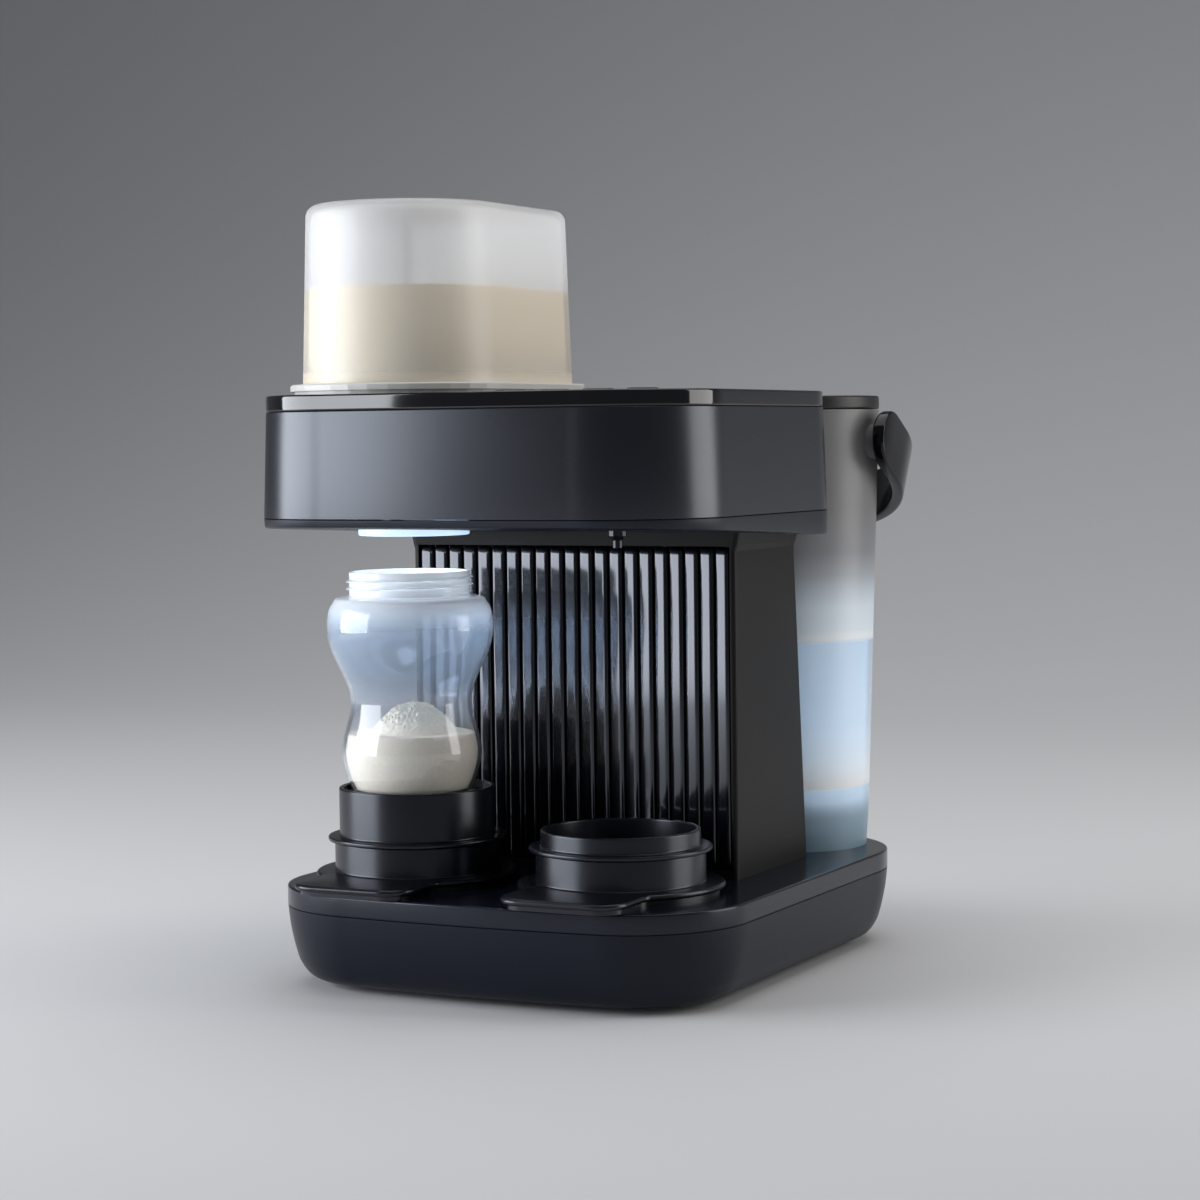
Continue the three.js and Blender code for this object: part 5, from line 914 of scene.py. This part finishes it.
# A rounded rectangle carried along the bent path; its width shrinks round each end as a half circle does.
def handleShape():
    h = handle
    half, r, w = h["inside"] + h["thick"] / 2, h["bend"] + h["thick"] / 2, h["width"] / 2
    ends = -w * np.cos(np.linspace(0.03, np.pi / 2, 14))
    left = np.stack([np.full_like(ends, half), ends], 1)
    path = np.concatenate([
        left, [[half, h["straight"] * 0.5]], arcOf(half - r, h["straight"], r, 0, 90, 28),
        arcOf(r - half, h["straight"], r, 90, 180, 28), [[-half, h["straight"] * 0.5]],
        (left * [-1, 1])[::-1],
    ])
    shrunk = np.sqrt(np.clip(w * w - np.minimum(path[:, 1], 0) ** 2, 0.01, None))
    across = np.where(path[:, 1] < 0, shrunk, w)
    tangent = np.gradient(path, axis=0)
    tangent /= np.linalg.norm(tangent, axis=1)[:, None]
    normal = np.stack([tangent[:, 1], -tangent[:, 0]], 1)
    e, t = h["edge"], h["thick"] / 2
    section = np.concatenate([
        arcOf(t - e, 1, e, 0, 90, 6), arcOf(e - t, 1, e, 90, 180, 6),
        arcOf(e - t, -1, e, 180, 270, 6), arcOf(t - e, -1, e, 270, 360, 6),
    ])
    side = np.sign(section[:, 1])
    reachOut = np.abs(section[:, 1]) - 1 - e
    v = side[None] * np.maximum(across[:, None] + reachOut[None], 0.02)
    out = np.broadcast_to(section[None, :, 0], v.shape)
    flat = path[:, None] + normal[:, None] * out[..., None]
    fold = math.radians(h["fold"])
    u = flat[..., 1]
    y = tank["y"] + u * math.cos(fold) + v * math.sin(fold)
    z = h["pivotZ"] - u * math.sin(fold) + v * math.cos(fold)
    return skin(np.stack([flat[..., 0], y, z], 2))


build("carry_handle", handleShape(), handleGloss, "tank_handle", ["tank_handle"], sharp=40)

print("stage: signs on the buttons")


# A flat ring, or part of one, raised by a tenth of a millimetre.
def ringSign(x, y, z, radius, width, gapFrom=0, gapTo=0):
    angle = np.radians(np.linspace(gapTo, 360 + gapFrom, 40))
    points = [np.stack([x + r * np.cos(angle), y + r * np.sin(angle), np.full_like(angle, h)], 1)
              for r, h in ((radius, z), (radius, z + 0.1), (radius - width, z + 0.1), (radius - width, z))]
    return skin(np.stack(points, 1))


def barSign(x, y, z, halfLength, halfWidth):
    return blockShape(x - halfLength, x + halfLength, y - halfWidth, y + halfWidth, z, z + 0.1)


sign = {"z": 253.9, "reach": 2.6, "bar": 2.4, "half": 0.3}


# The sign of a button at x: a ring with a stroke in its gap, a minus, a plus, or a whole ring.
def signShape(name, x):
    y, z, bar, half = panel["buttonY"], sign["z"], sign["bar"], sign["half"]
    if name == "button_power":
        return joined(ringSign(x, y, z, sign["reach"], 0.5, 60, 120), barSign(x, y + 1.8, z, 0.25, 1.6))
    if name == "button_less":
        return barSign(x, y, z, bar, half)
    if name == "button_more":
        return joined(barSign(x, y, z, bar, half), barSign(x, y, z + 0.02, half, bar))
    return ringSign(x, y, z, sign["reach"], 0.6)


for name, x in buttons.items():
    build(name + "_sign", signShape(name, x), iconWhite, name)

print("stage: room")
# in metres, as are the lamps below
room = {
    "floor": (0.74, 0.74, 0.75), "halfWidth": 6.0, "front": -1.5, "rear": 1.0, "round": 3.0, "height": 6.0,
    "air": (0.9, 0.93, 1.0), "airStrength": 0.12,
}


# A floor that turns up into a wall behind through a quarter circle.
def backdropShape():
    t = np.linspace(0, np.pi / 2, 24)
    wall = room["rear"] + room["round"]
    y = np.concatenate([[room["front"]], room["rear"] + room["round"] * np.sin(t), [wall]])
    z = np.concatenate([[0], room["round"] * (1 - np.cos(t)), [room["height"]]])
    x = np.array([-room["halfWidth"], room["halfWidth"]])
    grid = np.stack([np.broadcast_to(side, (len(y), 2)) for side in (x[None], y[:, None], z[:, None])], 2)
    index = np.arange(len(y) * 2).reshape(-1, 2)
    faces = np.stack([index[:-1, 0], index[:-1, 1], index[1:, 1], index[1:, 0]], 1).tolist()
    return grid.reshape(-1, 3), faces


mat, tree, shader, vector = nodeTree("paleFloor")
tone = noise(tree, vector, 3, 3)
colourBy(tree, shader, tone, scaled(room["floor"], 0.985), room["floor"])
shader.inputs["Roughness"].default_value = 0.7
shader.inputs["Specular IOR Level"].default_value = 0.2
points, faces = backdropShape()
backdropMesh = bpy.data.meshes.new("backdrop")
backdropMesh.from_pydata(points.tolist(), [], faces)
backdropMesh.polygons.foreach_set("use_smooth", np.ones(len(faces), bool))
backdrop = bpy.data.objects.new("backdrop", backdropMesh)
bpy.context.scene.collection.objects.link(backdrop)
backdropMesh.materials.append(mat)

world = bpy.data.worlds.new("room")
bpy.context.scene.world = world
world.use_nodes = True
air = world.node_tree.nodes["Background"]
air.inputs["Color"].default_value = (*room["air"], 1)
air.inputs["Strength"].default_value = room["airStrength"]


def softLight(name, place, target, width, height, power, colour=(1, 1, 1)):
    light = bpy.data.lights.new(name, "AREA")
    light.shape = "RECTANGLE"
    light.size, light.size_y = width, height
    light.energy = power
    light.color = colour
    obj = bpy.data.objects.new(name, light)
    obj.location = place
    obj.rotation_euler = (Vector(target) - Vector(place)).to_track_quat("-Z", "Y").to_euler()
    bpy.context.scene.collection.objects.link(obj)


# where each lamp stands, what it points at, its width, height and power, and its colour
softLight("leftSoftbox", (-0.9275, -0.65, 0.33), (-0.16, -0.006, 0.28), 0.99, 0.62, 13, (0.91, 0.95, 1.0))
softLight("rightRear", (1.07, 0.43, 0.4), (0, 0, 0.25), 0.7, 0.9, 6, (1.0, 0.98, 0.95))
softLight("overhead", (0.1, 0.3, 2.2), (0, 0.3, 0), 2.4, 2.4, 26)
outlet = (-0.0525, -0.0766)
softLight("outletGlow", (*outlet, 0.1885), (*outlet, 0), 0.036, 0.036, 0.013, (0.82, 0.91, 1.0))

print("stage: camera")
# place in the shapes' own millimetres, roll in degrees
view = {
    "lens": 88.03, "sensor": 36, "shift": 0.007, "place": (580.5, -1115.0, 234.6),
    "forward": (-0.44124, 0.89547, -0.05863), "roll": -0.68,
}
camera = bpy.data.cameras.new("camera")
camera.lens = view["lens"]
camera.sensor_width = view["sensor"]
camera.shift_y = view["shift"]
cameraObject = bpy.data.objects.new("camera", camera)
bpy.context.scene.collection.objects.link(cameraObject)
forward = Vector(view["forward"]).normalized()
level = Vector((forward.y, -forward.x, 0)).normalized()
up = level.cross(forward)
roll = math.radians(view["roll"])
right = level * math.cos(roll) + up * math.sin(roll)
up = right.cross(forward)
turn = Matrix((right, up, -forward)).transposed()
place = (Vector(view["place"]) + Vector((0, back, 0))) * mm
cameraObject.matrix_world = Matrix.Translation(place) @ turn.to_4x4()
bpy.context.scene.camera = cameraObject
bpy.context.scene.view_settings.view_transform = "Standard"
